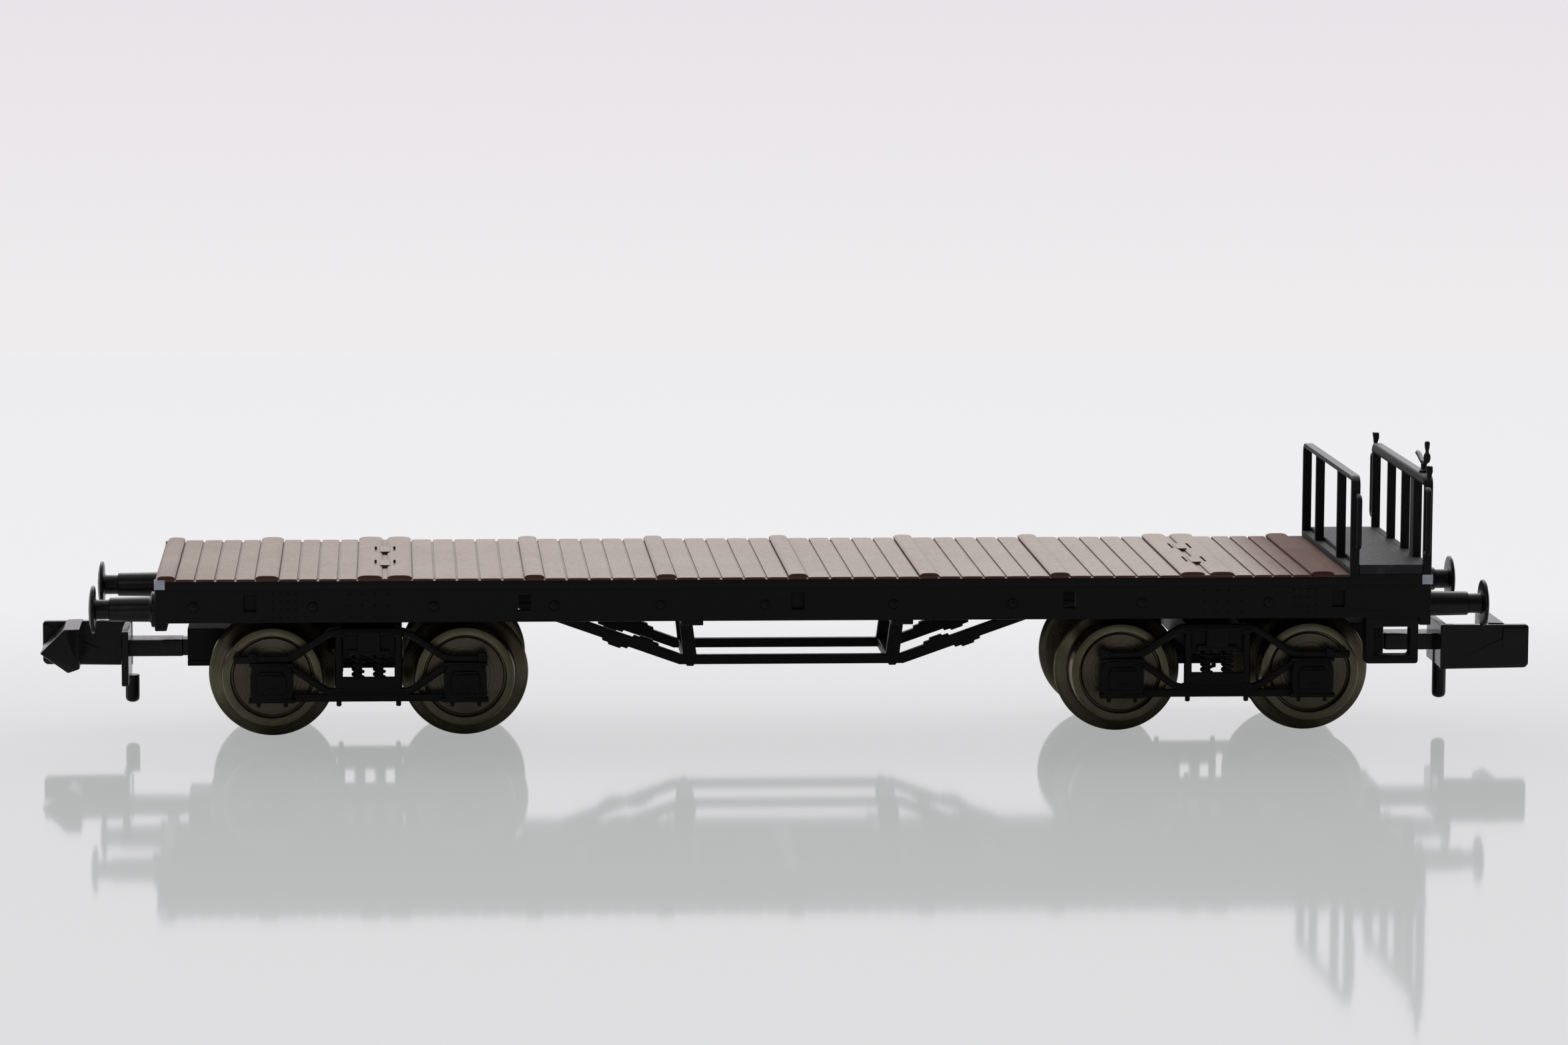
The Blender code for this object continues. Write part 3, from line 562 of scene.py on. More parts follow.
def deck_outline():
    """Upper line of the planks, each a little crowned, with a groove between them."""
    gap = 0.07
    depth = 0.13
    points = [(-DECK_X, DECK_LOW)]
    edges = plank_edges()
    for left, right in zip(edges, edges[1:]):
        a = left + gap if left > -DECK_X else left
        b = right - gap if right < DECK_X else right
        if left > -DECK_X:
            points.append((a, DECK_TOP - depth))
        for share in (0.0, 0.05, 0.14, 0.3, 0.5, 0.7, 0.86, 0.95, 1.0):
            x = a + (b - a) * share
            fall = (2 * share - 1) ** 6 * 0.022
            points.append((x, DECK_TOP - fall))
        if right < DECK_X:
            points.append((b, DECK_TOP - depth))
    points.append((DECK_X, DECK_LOW))
    return list(reversed(points))


def build_planks():
    bm = bmesh.new()
    prism_into(bm, deck_outline(), -LIP_Y, LIP_Y)
    box_into(bm, -36.60, 36.60, -8.10, 8.10, 9.15, 9.86, 0.03)
    dress(shaded("deck_planks", bm, 40.0), BROWN, "car", "deck_brown", "deck")


def board_outline(centre, half):
    """Section of a raised board, a little crowned and rounded off at both edges."""
    foot = DECK_TOP - 0.05
    crown = []
    for step in range(15):
        share = -1 + 2 * step / 14
        drop = 0.10 * abs(share) ** 5 + 0.012 * share * share
        crown.append((centre - half * share, BOARD_TOP - drop))
    return [(centre + half, foot)] + crown + [(centre - half, foot)]


def clip_places():
    return [(end * CLIP_X, side * CLIP_Y) for end in (-1, 1) for side in (-1, 1)]


def build_boards():
    bm = bmesh.new()
    for centre, width in BOARDS:
        prism_into(bm, board_outline(centre, width / 2), -BOARD_Y, BOARD_Y)
    boards = shaded("deck_boards", bm, 40.0)
    slots = bmesh.new()
    for x, y in clip_places():
        for offset in (-0.55, 0.56):
            box_into(slots, x + offset - 0.07, x + offset + 0.07, y - 1.15, y + 1.15,
                     DECK_TOP + 0.02, BOARD_TOP + 0.2, 0.01)
    cut_by(boards, link_new("slot_cutter", slots))
    dress(boards, BROWN, "car", "deck_brown")


def build_clips():
    bm = bmesh.new()
    for x, y in clip_places():
        box_into(bm, x - 0.30, x + 0.30, y - 1.20, y + 1.15, DECK_TOP - 0.05,
                 BOARD_TOP - 0.004, 0.03)
    dress(made_of("deck_clips", bm), BROWN, "car", "deck_brown")


# ---------------------------------------------------------------- turned pieces


def build_buffers():
    profile = [
        (0.0, 41.32), (0.35, 41.312), (0.75, 41.28), (1.10, 41.225), (1.32, 41.17),
        (1.38, 41.13), (1.40, 41.08), (1.40, 41.02), (1.37, 40.96), (1.25, 40.93),
        (0.68, 40.92), (0.60, 40.87), (0.58, 40.78), (0.58, 40.12), (0.65, 40.11),
        (0.69, 40.07), (0.70, 40.00), (0.735, 37.78), (0.78, 37.70), (1.00, 37.66),
        (1.05, 37.62), (1.05, 37.35), (0.40, 37.35), (0.40, 36.86), (0.0, 36.86),
    ]
    for word, end in ENDS:
        for place, side in SIDES:
            piece = lathe("buffer_turned_%s_%s" % (place, word), profile, "X",
                          (0.0, side * BUFFER_Y, BUFFER_Z), 56, flip=end < 0)
            dress(piece, SATIN, "car", "frame_black", "buffer_%s_%s" % (place, word))


def wheel_profile():
    bore = 0.605
    return [
        (bore, 5.85), (0.93, 5.85), (0.99, 5.83), (1.02, 5.77), (1.08, 5.71), (1.30, 5.70),
        (2.24, 5.70), (2.29, 5.66), (2.30, 5.40), (2.40, 5.40), (2.415, 5.88),
        (2.45, 5.94), (2.52, 5.95), (2.82, 5.95), (2.88, 5.935), (2.905, 5.88), (2.985, 4.46),
        (3.03, 4.36), (3.12, 4.30), (3.45, 4.19), (3.62, 4.13), (3.71, 4.06),
        (3.745, 3.98), (3.73, 3.90), (3.66, 3.82), (3.50, 3.745), (3.30, 3.725),
        (2.50, 3.72), (2.35, 3.80), (1.20, 3.80), (1.05, 3.72), (bore, 3.72),
    ]


def build_wheelsets():
    axle = [(0.0, 6.85), (0.12, 6.74), (0.60, 6.20), (0.60, 3.60), (0.52, 3.50),
            (0.52, -3.50), (0.60, -3.60), (0.60, -6.20), (0.12, -6.74), (0.0, -6.85)]
    for word, end in ENDS:
        for place, offset in (("outer", AXLE_X), ("inner", -AXLE_X)):
            centre = (end * (PIVOT_X + offset), 0.0, AXLE_Z)
            body = "wheelset_%s_%s" % (place, word)
            tail = "%s_%s" % (place, word)
            piece = lathe("axle_turned_" + tail, axle, "Y", centre, 40)
            dress(piece, WHEEL, body, "wheel_metal", "axle_" + tail)
            for side_word, side in SIDES:
                wheel = lathe("wheel_turned_%s_%s" % (side_word, tail), wheel_profile(),
                              "Y", centre, 96, closed=True, flip=side < 0)
                dress(wheel, WHEEL, body, "wheel_metal", "wheel_%s_%s" % (side_word, tail))


def build_screws():
    low = 4.98
    profile = [(0.0, 8.20), (0.50, 8.20), (0.60, 8.10), (0.60, low + 0.40),
               (1.14, low + 0.40), (1.20, low + 0.34), (1.20, low + 0.10),
               (1.10, low), (0.0, low)]
    for word, end in ENDS:
        centre = (end * PIVOT_X, 0.0, 0.0)
        screw = lathe("pivot_screw_turned_" + word, profile, "Z", centre, 40)
        cut_by(screw, screw_slot(end))
        dress(screw, STEEL, "car", "steel", "pivot_screw_" + word)


def screw_slot(end):
    bm = bmesh.new()
    place = Matrix.Translation(Vector((end * PIVOT_X, 0.0, 4.99)) * MM)
    size = Matrix.Diagonal((2.8 * MM, 0.30 * MM, 0.26 * MM, 1.0))
    bmesh.ops.create_cube(bm, size=1.0, matrix=place @ size)
    return link_new("slot_cutter", bm)


def cut_by(obj, cutter):
    """Cut one mesh out of another for good."""
    boolean = obj.modifiers.new("cut", "BOOLEAN")
    boolean.solver = "EXACT"
    boolean.object = cutter
    bpy.context.view_layer.update()
    seen = obj.evaluated_get(bpy.context.evaluated_depsgraph_get())
    mesh = bpy.data.meshes.new_from_object(seen)
    obj.modifiers.clear()
    obj.data = mesh
    bpy.data.objects.remove(cutter)


# ---------------------------------------------------------------- platform


def grab_path(x, side, low, high):
    """Path of a rod out of a railing's side, up and back in, with two eased turns."""
    face = side * (LIP_Y - 0.05)
    out = side * (LIP_Y + 0.67)
    turn = 0.30
    lower = []
    for step in range(9):
        angle = step * math.pi / 16
        lower.append((x, out - side * turn * (1 - math.sin(angle)),
                      low + turn * (1 - math.cos(angle))))
    upper = [(x, y, low + high - z) for x, y, z in reversed(lower)]
    return [(x, face, low)] + lower + upper + [(x, face, high)]


def build_grab_irons():
    for place, x, low, high in (("inner", 32.83, 11.60, 14.60), ("end", 36.92, 11.20, 15.00)):
        for word, side in SIDES:
            rod = tube("grab_rod_%s_%s" % (place, word), grab_path(x, side, low, high), 0.155, 14)
            dress(rod, RAIL, "car", "frame_black", "%s_grab_iron_%s" % (place, word))


def build_crank():
    x = 37.02
    bm = bmesh.new()
    stem = [(0.0, 16.50), (0.18, 16.50), (0.18, 16.02), (0.20, 15.96), (0.27, 15.92),
            (0.28, 15.86), (0.28, 15.78), (0.0, 15.78)]
    lathe_into(bm, stem, Matrix.Translation(Vector((x, -7.30, 0.0)) * MM), 28)
    handle = [(0.0, 17.735), (0.08, 17.73), (0.13, 17.70), (0.155, 17.64), (0.155, 17.48),
              (0.135, 17.32), (0.10, 17.18), (0.10, 17.08), (0.14, 17.00), (0.19, 16.93),
              (0.21, 16.82), (0.21, 16.70), (0.18, 16.56), (0.13, 16.46), (0.0, 16.42)]
    lathe_into(bm, handle, Matrix.Translation(Vector((x, -8.25, 0.0)) * MM), 28)
    ends = [(-5.20, 16.72), (-5.60, 16.68), (-6.20, 16.52), (-6.75, 16.40), (-7.30, 16.36),
            (-7.75, 16.42), (-8.20, 16.62)]
    tube_into(bm, smooth_path([(x, y, z) for y, z in ends], 4), 0.15, 14)
    dress(shaded("brake_crank_turned", bm, 32.0), RAIL, "car", "frame_black", "brake_crank")


def smooth_path(points, between):
    """Catmull-Rom points between the given ones."""
    pts = [Vector(p) for p in points]
    pts = [pts[0] * 2 - pts[1]] + pts + [pts[-1] * 2 - pts[-2]]
    out = []
    for index in range(1, len(pts) - 2):
        a, b, c, d = pts[index - 1:index + 3]
        for step in range(between):
            t = step / between
            out.append(0.5 * (2 * b + (c - a) * t + (2 * a - 5 * b + 4 * c - d) * t * t
                              + (3 * b - a - 3 * c + d) * t * t * t))
    out.append(pts[-2])
    return out


def half_underframe_into(bm, side):
    """Add one solebar and inner sill, and one end's headstock, sills, cross-members and boss."""
    holes = [rectangle(x - 0.365, x + 0.365, 8.02, 8.99)
             for x in (-31.85, -15.95, 0.0, 15.95, 31.85)]
    plate_into(bm, "XZ", side * 8.15, side * 8.75,
               [rectangle(-37.31, 37.31, 7.35, 9.36)] + holes, 0.05)
    box_into(bm, side * 36.65, side * 37.345, -8.71, 8.71, 6.90, 9.36, 0.07)
    box_into(bm, -PIVOT_X, PIVOT_X, side * 3.15, side * 3.71, 7.80, 9.20)
    for y in (-3.43, 3.43):
        box_into(bm, side * PIVOT_X, side * 37.0, y - 0.28, y + 0.28, 7.62, 9.19)
    for x, half, low in ((PIVOT_X, 1.60, 7.70), (6.15, 0.65, 7.05), (12.30, 0.30, 7.90),
                         (31.85, 0.45, 7.62)):
        box_into(bm, side * x - half, side * x + half, -8.45, 8.45, low, 9.22)
    brace = [(-6.36, -side * 8.15), (-5.94, -side * 8.15), (6.36, side * 8.15),
             (5.94, side * 8.15)]
    plate_into(bm, "XY", 8.90, 9.18, [brace], 0.04)
    boss = [(0.61, 6.64), (0.66, 6.60), (1.72, 6.60), (1.80, 6.68), (1.80, 8.20), (0.61, 8.20)]
    lathe_into(bm, boss, Matrix.Translation((side * PIVOT_X * MM, 0.0, 0.0)), 40, True)


def build_underframe():
    bm = bmesh.new()
    rim = [rectangle(-37.35, 37.35, -LIP_Y, LIP_Y), rectangle(-36.65, 36.65, -8.15, 8.15)]
    plate_into(bm, "XY", 9.34, DECK_LOW, rim, 0.06)
    for side in (-1, 1):
        half_underframe_into(bm, side)
    box_into(bm, -0.45, 0.45, -8.45, 8.45, 7.62, 9.22)
    dress(made_of("underframe_casting", bm), BLACK, "car", "frame_black", "underframe")


def rail_outline():
    """Outer line of a railing in Y and Z, with rounded upper corners."""
    outline = [(LIP_Y, DECK_TOP)]
    for step in range(9):
        angle = step * math.pi / 16
        outline.append((LIP_Y - 0.60 * (1 - math.cos(angle)),
                        15.18 + 0.60 * math.sin(angle)))
    return outline + [(-y, z) for y, z in reversed(outline)]


def build_railings():
    edge = LIP_Y - 0.30
    rows = [
        ("inner_railing", (32.45, 32.99), 10.33, 15.48,
         [(-edge, -4.10), (-3.80, 3.80), (4.10, edge)]),
        ("end_railing", (36.76, 37.28), 10.53, 15.45,
         [(-edge, -5.52), (-4.34, -1.54), (-1.26, 3.32), (3.60, edge)]),
    ]
    for node, (start, end), low, high, windows in rows:
        bm = bmesh.new()
        holes = [rectangle(a, b, low, high) for a, b in windows]
        plate_into(bm, "YZ", start, end, [rail_outline()] + holes, 0.06)
        if node == "end_railing":
            cap = [(y * 0.998, z - 0.02) for y, z in rail_outline() if z > 15.10]
            plate_into(bm, "YZ", 36.70, end - 0.02, [cap], 0.14)
        dress(made_of(node + "_frame", bm), RAIL, "car", "frame_black", node)


def build_lamp_irons():
    blade = [(-0.06, 15.25), (0.08, 15.25), (0.08, 15.62), (0.14, 15.80), (0.21, 16.02),
             (0.20, 16.36), (-0.19, 16.37), (-0.13, 15.95)]
    for word, side in SIDES:
        bm = bmesh.new()
        plate_into(bm, "XZ", side * LIP_Y, side * (LIP_Y + 0.26),
                   [[(36.985 + x, z) for x, z in blade]], 0.04)
        dress(made_of("lamp_iron_blade_" + word, bm), RAIL, "car", "frame_black",
              "lamp_iron_" + word)


def build_steps():
    ring = [(33.50, 7.45), (33.50, 4.62), (36.62, 4.62), (36.62, 7.45)]
    for word, side in SIDES:
        bm = bmesh.new()
        plate_into(bm, "XZ", side * 7.60, side * 8.72,
                   [ring, rectangle(33.94, 36.14, 5.10, 6.80)], 0.06, 0.16)
        dress(made_of("step_%s_bracket" % word, bm), PLASTIC, "car", "frame_black",
              "step_" + word)


def bored_transom():
    """Mesh of the bogie's cross beam with its stepped pivot bore."""
    bm = bmesh.new()
    box_into(bm, -1.63, 1.63, -6.35, 6.35, 4.95, 6.55, 0.07)
    beam = link_new("transom", bm)
    bm = bmesh.new()
    bore = [(0.0, 4.90), (1.30, 4.90), (1.30, 5.55), (0.65, 5.55), (0.65, 6.60), (0.0, 6.60)]
    lathe_into(bm, bore, Matrix.Identity(4), 40)
    bmesh.ops.recalc_face_normals(bm, faces=bm.faces)
    cut_by(beam, link_new("bore_cutter", bm))
    bm = bmesh.new()
    bm.from_mesh(beam.data)
    bpy.data.objects.remove(beam)
    return bm


def build_bogie_frames():
    for word, end in ENDS:
        bm = bored_transom()
        box_into(bm, 1.33, 6.75, -1.70, 1.70, 4.75, 6.40, 0.07)
        channel = [(-2.10, 4.22), (-1.65, 4.22), (-1.65, 5.72), (1.65, 5.72), (1.65, 4.22),
                   (2.10, 4.22), (2.10, 6.10), (-2.10, 6.10)]
        plate_into(bm, "YZ", 6.45, 10.70, [channel], 0.06)
        box_into(bm, 6.49, 6.75, -1.80, 1.80, 4.26, 5.90, 0.04)
        bm.transform(bogie_matrix(end))
        dress(made_of("bogie_frame_casting_" + word, bm), PLASTIC, "bogie_" + word,
              "bogie_black", "bogie_frame_" + word)


def bent_bar(points, thickness, bend, count=4):
    """Outline of a flat bar along a path, its bends eased over a length."""
    path = [Vector(points[0])]
    for before, corner, after in zip(points, points[1:], points[2:]):
        corner = Vector(corner)
        start = corner + (Vector(before) - corner).normalized() * bend
        end = corner + (Vector(after) - corner).normalized() * bend
        for step in range(count + 1):
            share = step / count
            path.append(start.lerp(corner, share).lerp(corner.lerp(end, share), share))
    path.append(Vector(points[-1]))
    left = []
    right = []
    for index, point in enumerate(path):
        ahead = path[min(index + 1, len(path) - 1)]
        behind = path[max(index - 1, 0)]
        first = (point - behind).normalized() if index else (ahead - point).normalized()
        last = (ahead - point).normalized() if index < len(path) - 1 else first
        normal = Vector((-first.y - last.y, first.x + last.x)).normalized()
        left.append(point + normal * thickness / 2)
        right.append(point - normal * thickness / 2)
    return [tuple(p) for p in left + right[::-1]]


def stud_into(bm, x, y, low, high, radius):
    """Add an upright round stud or bolt with chamfered ends."""
    rim = min(radius * 0.35, 0.05)
    profile = [(0.0, low), (radius - rim, low), (radius, low + rim), (radius, high - rim),
               (radius - rim, high), (0.0, high)]
    lathe_into(bm, profile, Matrix.Translation((x * MM, y * MM, 0.0)), 18)


def axle_box_into(bm, x, side):
    """Axle box: barrel-sided body, raised lid with its lip and rivets, and base flange."""
    body = [(-1.16, 2.56), (-1.24, 3.00), (-1.24, 4.00), (-1.15, 4.42), (-0.95, 4.64),
            (0.95, 4.64), (1.15, 4.42), (1.24, 4.00), (1.24, 3.00), (1.16, 2.56)]
    plate_into(bm, "XZ", side * 6.36, side * 7.26, [[(x + a, z) for a, z in body]], 0.09)
    lid = [(-0.84, 2.90), (-0.86, 3.80), (-0.78, 4.12), (-0.60, 4.27), (0.60, 4.27),
           (0.78, 4.12), (0.86, 3.80), (0.84, 2.90)]
    plate_into(bm, "XZ", side * 7.15, side * 7.40, [[(x + a, z) for a, z in lid]], 0.08)
    ridge = [(-0.80, 4.06), (-0.64, 4.25), (0.64, 4.25), (0.80, 4.06)]
    plate_into(bm, "XZ", side * 7.30, side * 7.455, [[(x + a, z) for a, z in ridge]], 0.04)
    box_into(bm, x - 0.24, x + 0.24, side * 7.30, side * 7.45, 3.10, 3.30, 0.04)
    box_into(bm, x - 1.36, x + 1.34, side * 6.60, side * 7.30, 2.41, 2.66, 0.05)
    box_into(bm, x - 1.28, x + 1.28, side * 6.45, side * 7.20, 4.52, 4.74, 0.05)
    for offset in (-0.80, 0.78):
        stud_into(bm, x + offset, side * 6.95, 2.14, 2.50, 0.13)


def bogie_side_into(bm, side):
    """One archbar side, on the bogie's own -Y or +Y side."""
    upper = [(7.90, 4.91), (4.55, 4.91), (2.20, 6.55), (-2.20, 6.55), (-4.55, 4.91),
             (-6.95, 4.91)]
    lower = [(5.30, 4.58), (4.55, 4.46), (2.35, 2.96), (-2.35, 2.96), (-4.55, 4.46),
             (-5.30, 4.58)]
    plate_into(bm, "XZ", side * 6.35, side * 6.95, [bent_bar(upper, 0.42, 0.5)], 0.08)
    plate_into(bm, "XZ", side * 6.37, side * 6.92, [bent_bar(lower, 0.38, 0.5)], 0.08)
    for half, inside, outside, low, high, edge in (
        (6.90, 6.40, 6.90, 2.42, 2.86, 0.08), (1.98, 6.40, 6.90, 2.84, 3.12, 0.05),
        (1.60, 6.42, 6.88, 3.05, 3.85, 0.06), (1.20, 6.40, 6.86, 5.15, 5.47, 0.06),
        (0.66, 6.45, 6.98, 5.35, 6.55, 0.06), (1.74, 6.42, 6.60, 5.23, 6.56, 0.04),
    ):
        box_into(bm, -half, half, side * inside, side * outside, low, high, edge)
    for x in (-AXLE_X, AXLE_X):
        axle_box_into(bm, x, side)
    for x in (-1.74, 1.74):
        stud_into(bm, x, side * 6.70, 2.95, 6.50, 0.235)
        stud_into(bm, x, side * 6.70, 2.14, 2.50, 0.15)
        for low, high in ((3.00, 3.22), (6.22, 6.46)):
            box_into(bm, x - 0.32, x + 0.32, side * 6.45, side * 6.97, low, high, 0.05)
    for x, half in ((6.72, 0.27), (-6.65, 0.25)):
        box_into(bm, x - half, x + half, side * 6.45, side * 7.05, 4.70, 5.30, 0.07)
    for x in (0.95 - AXLE_X, AXLE_X - 0.95):
        stud_into(bm, x, side * 6.70, 4.95, 5.16, 0.15)


def build_bogie_sides():
    for word, end in ENDS:
        for place, side in SIDES:
            bm = bmesh.new()
            bogie_side_into(bm, side * end)
            bm.transform(bogie_matrix(end))
            dress(made_of("bogie_side_%s_casting_%s" % (place, word), bm), PLASTIC,
                  "bogie_" + word, "bogie_black", "bogie_side_%s_%s" % (place, word))


def coupler_into(bm, foot, pin_top, pin_x, pin_y):
    """Add a coupler in its bogie's frame: shank with an eye, open box head and trip pin."""
    box_into(bm, 8.60, 11.30, -0.75, 0.75, 4.31, 5.27, 0.06)
    eye = [(0.36, -0.76), (0.50, -0.76), (0.55, -0.71), (0.55, 0.71), (0.50, 0.76), (0.36, 0.76)]
    place = Matrix.Translation((8.30 * MM, 0.0, COUPLER_Z * MM)) @ turn_matrix("Y")
    lathe_into(bm, eye, place, 32, True)
    box_into(bm, 11.00, 14.30, -0.95, 0.95, 4.29, 5.29, 0.08)
    box_into(bm, 14.16, 14.58, -2.42, 2.50, foot, 6.00, 0.08)
    wall = [(14.12, 3.33), (19.25, 3.40), (19.45, 3.60), (19.45, 5.88), (19.33, 6.01),
            (14.12, 6.03)]
    plate_into(bm, "XZ", -2.50, -2.05, [wall], 0.07)
    box_into(bm, 17.85, 19.40, -2.58, -2.30, 4.70, 5.85, 0.05)
    wedge = [(19.39, 4.66), (17.95, 6.10), (17.05, 6.12), (17.05, 3.72), (17.75, 3.48)]
    plate_into(bm, "XZ", -2.25, 2.20, [wedge], 0.08)
    trip = [(0.0, pin_top), (0.42, pin_top), (0.42, 1.58), (0.40, 1.45), (0.34, 1.34),
            (0.17, 1.26), (0.0, 1.25)]
    lathe_into(bm, trip, Matrix.Translation((pin_x * MM, pin_y * MM, 0.0)), 32)


def build_couplers():
    """The photograph's two heads differ in the foot of the rear wall and in the trip pin."""
    for word, end, foot, pin_top, pin_x, pin_y in (
        ("left", -1, 2.72, 2.90, 14.10, -1.2), ("right", 1, 3.35, 4.60, 14.50, 0.0),
    ):
        bm = bmesh.new()
        coupler_into(bm, foot, pin_top, pin_x, pin_y)
        bm.transform(bogie_matrix(end))
        dress(made_of("coupler_casting_" + word, bm), GLOSSY, "coupler_head_" + word,
              "bogie_black", "coupler_" + word)


def build_copies():
    """Plain bars and plates that keep their CAD outline and gain rounded edges."""
    rows = [
        ("truss_near", "truss_near_bar", BLACK, "car", "frame_black", 0.06),
        ("truss_far", "truss_far_bar", BLACK, "car", "frame_black", 0.06),
        ("truss_tie_left", "truss_tie_left_bar", BLACK, "car", "frame_black", 0.06),
        ("truss_tie_right", "truss_tie_right_bar", BLACK, "car", "frame_black", 0.06),
        ("platform_floor", "platform_floor_plate", FLOOR, "car", "frame_black", 0.05),
    ]
    for word in ("left", "right"):
        rows += [
            ("pocket_cover_" + word, "pocket_cover_plate_" + word, PLASTIC,
             "bogie_" + word, "bogie_black", 0.05),
            ("coupler_pin_" + word, "coupler_cross_pin_" + word, STEEL,
             "coupler_swivel_" + word, "steel", 0.04),
        ]
    for node, name, material, body, slot, width in rows:
        dress(copied(node, name, width), material, body, slot, node)


def build_coupler_spring(word, end):
    """Coil between the pocket's rear wall and the swivel, along the coupler's own line."""
    steps = 4 * 24
    start = 6.83
    stop = 7.52
    path = []
    for step in range(steps + 1):
        angle = step * math.pi / 12
        along = start + (stop - start) * step / steps
        path.append((end * (PIVOT_X + along), end * 0.36 * math.cos(angle),
                     COUPLER_Z + 0.36 * math.sin(angle)))
    spring = tube("coupler_coil_" + word, path, 0.075, 10)
    dress(spring, STEEL, "bogie_" + word, "steel", "coupler_spring_" + word)


def nest_coil_into(bm, x, y):
    """Add one upright spring of a nest, with the core behind its turns."""
    core = [(0.0, 5.25), (0.24, 5.25), (0.24, 3.80), (0.0, 3.80)]
    lathe_into(bm, core, Matrix.Translation((x * MM, y * MM, 0.0)), 20)
    steps = 4 * 28
    coil = []
    for step in range(steps + 1):
        angle = step * math.pi / 14
        coil.append((x + 0.29 * math.cos(angle), y + 0.29 * math.sin(angle),
                     5.12 - 1.26 * step / steps))
    tube_into(bm, coil, 0.10, 10)


def build_nests(word, end):
    for place, side in SIDES:
        bm = bmesh.new()
        for x in (-0.62, 0.62):
            nest_coil_into(bm, end * PIVOT_X + x, side * 6.65)
        nest = shaded("nest_coils_%s_%s" % (place, word), bm, 40.0)
        dress(nest, PLASTIC, "bogie_" + word, "bogie_black")


def build_springs():
    for word, end in ENDS:
        build_coupler_spring(word, end)
        build_nests(word, end)


# ---------------------------------------------------------------- small painted detail


def build_patches():
    """Light paint at the four corners of the rim under the planks, left flat-faced."""
    for end_word, end in ENDS:
        for word, side in SIDES:
            bm = bmesh.new()
            low, high = sorted((side * 8.775, side * 9.075))
            prism_into(bm, rectangle(end * 36.74, end * 37.36, 9.37, 9.93), low, high)
            bmesh.ops.recalc_face_normals(bm, faces=bm.faces)
            patch = link_new("corner_patch_%s_%s" % (word, end_word), bm)
            dress(patch, PALE, "car", "frame_black")


def build_deck_ends():
    """Black edging of the deck beneath the brake platform."""
    bm = bmesh.new()
    for side in (-1, 1):
        box_into(bm, 32.47, 37.34, side * 8.90, side * 9.066, 9.70, 9.985, 0.02)
    box_into(bm, 37.10, 37.345, -9.06, 9.06, 9.70, 9.985, 0.02)
    dress(made_of("deck_end_edging", bm), BLACK, "car", "frame_black")


def build_bosses():
    """Round bosses and rows of rivets on both solebars; heads face out at y = 8.75."""
    boss = [(0.0, 8.885), (0.14, 8.88), (0.23, 8.86), (0.29, 8.80), (0.31, 8.74), (0.0, 8.60)]
    rivet = [(0.0, 8.80), (0.05, 8.79), (0.085, 8.745), (0.0, 8.70)]
    spots = [(x, 8.30, boss, 24)
             for x in (-35.1, -28.2, -21.2, -14.2, -8.0, -1.9, 5.6, 12.6, 20.2, 27.7)]
    for columns, rows in (((29.2, 29.63, 30.06, 30.5), (7.66, 8.12, 8.58, 9.04)),
                          ((23.9, 24.63, 25.36, 26.1), (7.70, 8.35, 9.00))):
        spots += [(end * x, z, rivet, 10) for end in (-1, 1) for x in columns for z in rows]
    bm = bmesh.new()
    for x, z, profile, steps in spots:
        for side in (-1, 1):
            matrix = Matrix.Translation(Vector((x, 0.0, z)) * MM) @ turn_matrix("Y")
            lathe_into(bm, [(radius, side * y) for radius, y in profile], matrix, steps)
    dress(shaded("solebar_bosses", bm, 35.0), BLACK, "car", "frame_black")


# ---------------------------------------------------------------- stage, light, camera


def floor_gloss():
    """Pale table with a light of its own for the camera, under a glaze that mirrors the car."""
    n = Nodes("floor_gloss")
    haze = n.noise(9.0, 2.0)
    colour = n.ramp(haze, ((0.2, (0.75, 0.765, 0.765)), (0.8, (0.79, 0.80, 0.80))))
    roughness = n.span(haze, 0.04, 0.07)
    normal = n.bump(n.noise(40.0, 1.0), 0.00002, 0.05)
    material = n.finish(colour, roughness, normal, Specular_IOR_Level=0.0)
    glaze = n.add("ShaderNodeFresnel")
    glaze.inputs["IOR"].default_value = 1.5
    # Painted light: the floor's glow for the camera rises towards the back, most at grazing
    # angles, lifting the car's shadow behind it.
    depth = n.span(n.axis(n.place, "Y"), 0.0, 1.0, -0.012, 0.050)
    brighter = n.maths("MULTIPLY", depth, glaze.outputs[0])
    plain = n.add("ShaderNodeEmission")
    plain.inputs["Color"].default_value = (0.850, 0.862, 0.862, 1.0)
    n.feed(plain.inputs["Strength"], n.maths("MULTIPLY_ADD", brighter, 0.90, 1.0))
    camera_ray = n.add("ShaderNodeLightPath").outputs["Is Camera Ray"]
    base = n.blended(n.maths("MULTIPLY", camera_ray, 0.75), n.shader.outputs[0],
                     plain.outputs[0])
    gloss = n.add("ShaderNodeBsdfGlossy")
    n.feed(gloss.inputs["Roughness"], roughness)
    n.feed(gloss.inputs["Normal"], normal)
    surface = n.tree.nodes["Material Output"].inputs["Surface"]
    n.feed(surface, n.blended(glaze.outputs[0], base, gloss.outputs[0]))
    return material


def build_stage():
    bm = bmesh.new()
    near, far, side = -0.9, 0.235, 1.6
    corners = [(-side, near, 0.0), (side, near, 0.0), (side, far, 0.0), (-side, far, 0.0)]
    bm.faces.new([bm.verts.new(Vector(c)) for c in corners])
    floor = link_new("floor", bm)
    floor.data.materials.append(floor_gloss())


def background(tree, colour, strength):
    node = tree.add("ShaderNodeBackground")
    tree.feed(node.inputs["Color"], colour)
    tree.feed(node.inputs["Strength"], strength)
    return node.outputs[0]


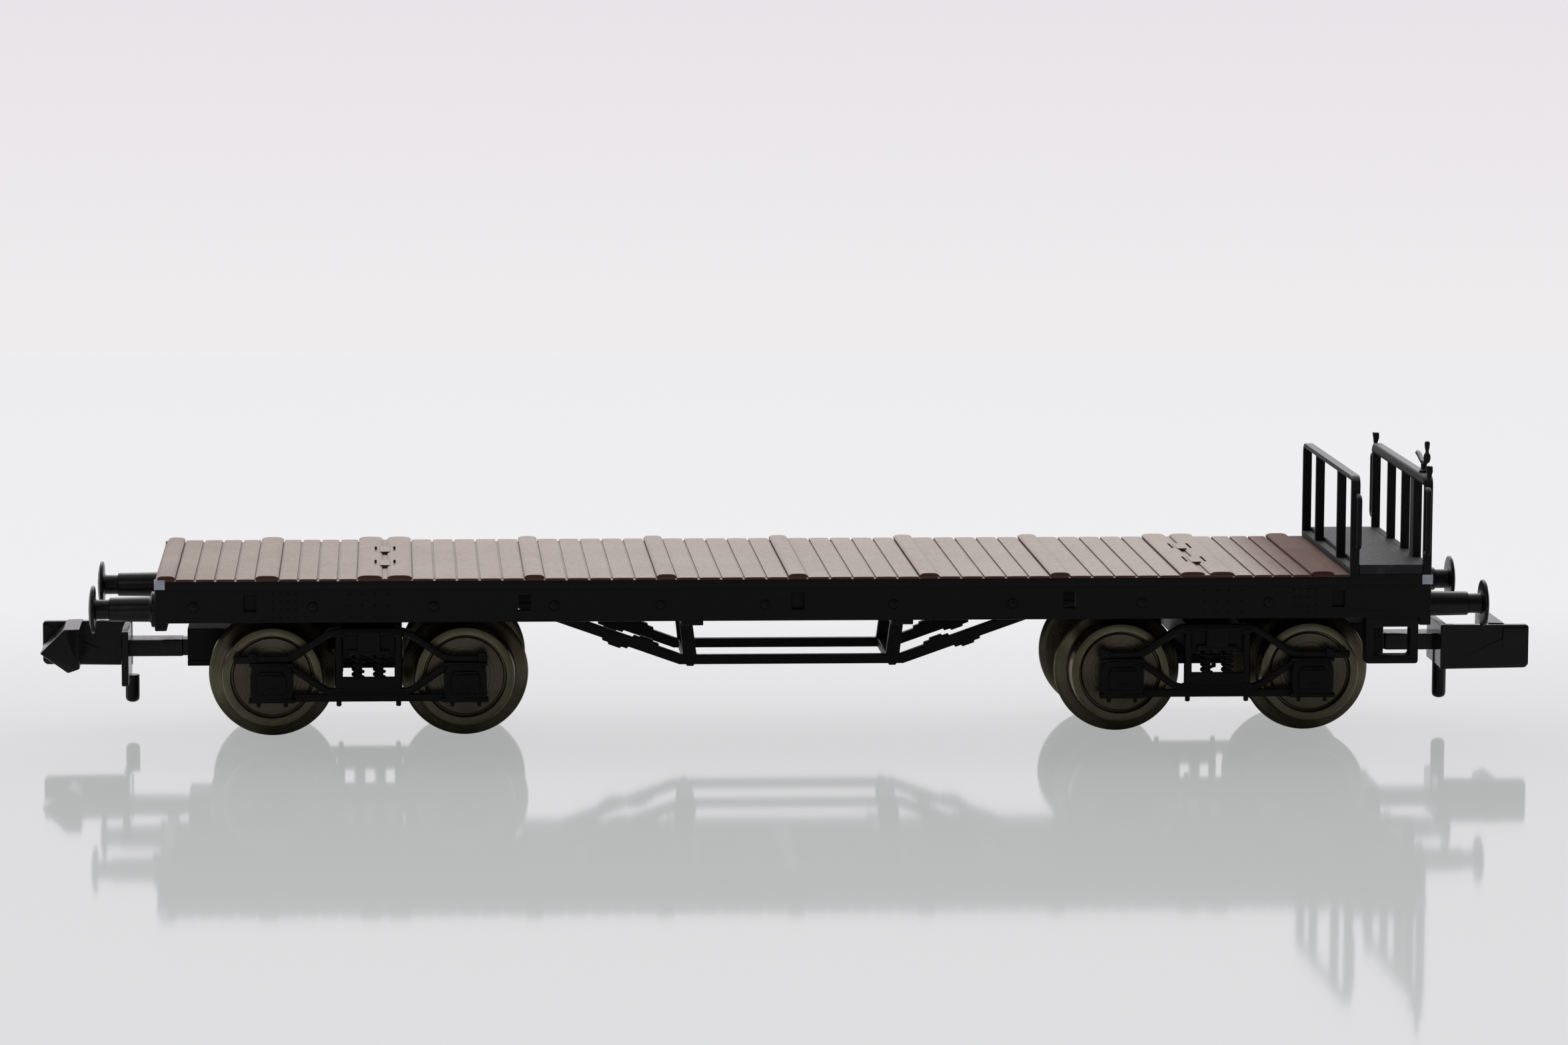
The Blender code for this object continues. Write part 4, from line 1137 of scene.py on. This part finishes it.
def build_world():
    """Even pale backdrop; what lights and reflects in the part is dimmer towards the viewer."""
    world = bpy.data.worlds.new("studio")
    bpy.context.scene.world = world
    world.use_nodes = True
    world.node_tree.nodes.clear()
    tree = Tree(world.node_tree)
    direction = tree.add("ShaderNodeTexCoord").outputs["Generated"]
    path = tree.add("ShaderNodeLightPath")
    camera_ray = path.outputs["Is Camera Ray"]
    fade = tree.span(tree.axis(direction, "Y"), 0.14, 1.0, -0.75, 0.25, "SMOOTHSTEP")
    lit = background(tree, (0.93, 0.95, 1.0, 1.0), tree.maths("MULTIPLY", fade, 0.60))
    height = tree.span(tree.axis(direction, "Z"), 0.0, 1.0, -0.100, -0.035)
    tint = tree.mixed(height, (0.870, 0.852, 0.862, 1.0), (0.815, 0.780, 0.815, 1.0))
    seen = background(tree, tint, tree.maths("MAXIMUM", camera_ray, fade))
    either = tree.maths("MAXIMUM", camera_ray, path.outputs["Is Glossy Ray"])
    out = tree.add("ShaderNodeOutputWorld")
    tree.feed(out.inputs["Surface"], tree.blended(either, lit, seen))


def area(name, place, target, size, watts):
    """Rectangular light at a place, aimed at a target."""
    light = bpy.data.lights.new(name, "AREA")
    light.shape = "RECTANGLE"
    light.size, light.size_y = size
    light.energy = watts
    obj = bpy.data.objects.new(name, light)
    bpy.context.scene.collection.objects.link(obj)
    obj.location = place
    aim = Vector(target) - Vector(place)
    obj.rotation_euler = aim.to_track_quat("-Z", "Y").to_euler()


def build_lights():
    area("sky", (0.0, 1.00, 0.78), (0.0, 0.0, 0.0), (3.4, 0.85), 16.5)
    area("front", (-0.25, -0.55, 0.30), (0.0, 0.0, 0.005), (0.4, 0.3), 0.22)


def build_camera():
    """The photograph's view: place, turn and focal length fitted to it."""
    place = (-0.0236811, -0.3393345, 0.0542243)
    yaw = math.radians(-3.9539)
    pitch = math.radians(7.0698)
    roll = math.radians(0.273)
    ahead = Vector((-math.sin(yaw) * math.cos(pitch), math.cos(yaw) * math.cos(pitch),
                    -math.sin(pitch)))
    level = Vector((math.cos(yaw), math.sin(yaw), 0.0))
    above = level.cross(ahead)
    right = level * math.cos(roll) + above * math.sin(roll)
    up = above * math.cos(roll) - level * math.sin(roll)
    data = bpy.data.cameras.new("camera")
    data.sensor_width = 36.0
    data.sensor_fit = "HORIZONTAL"
    data.lens = 131.63
    data.clip_start = 0.01
    data.clip_end = 20.0
    camera = bpy.data.objects.new("camera", data)
    bpy.context.scene.collection.objects.link(camera)
    turn = Matrix((right, up, -ahead)).transposed().to_4x4()
    camera.matrix_world = Matrix.Translation(place) @ turn
    bpy.context.scene.camera = camera


build_camera()
build_stage()
build_world()
build_lights()
build_underframe()
build_railings()
build_lamp_irons()
build_steps()
build_bogie_frames()
build_bogie_sides()
build_couplers()
build_copies()
build_planks()
build_boards()
build_clips()
build_buffers()
build_wheelsets()
build_screws()
build_grab_irons()
build_crank()
build_springs()
build_patches()
build_deck_ends()
build_bosses()

bpy.context.scene.view_settings.view_transform = "Standard"
bpy.context.view_layer.update()
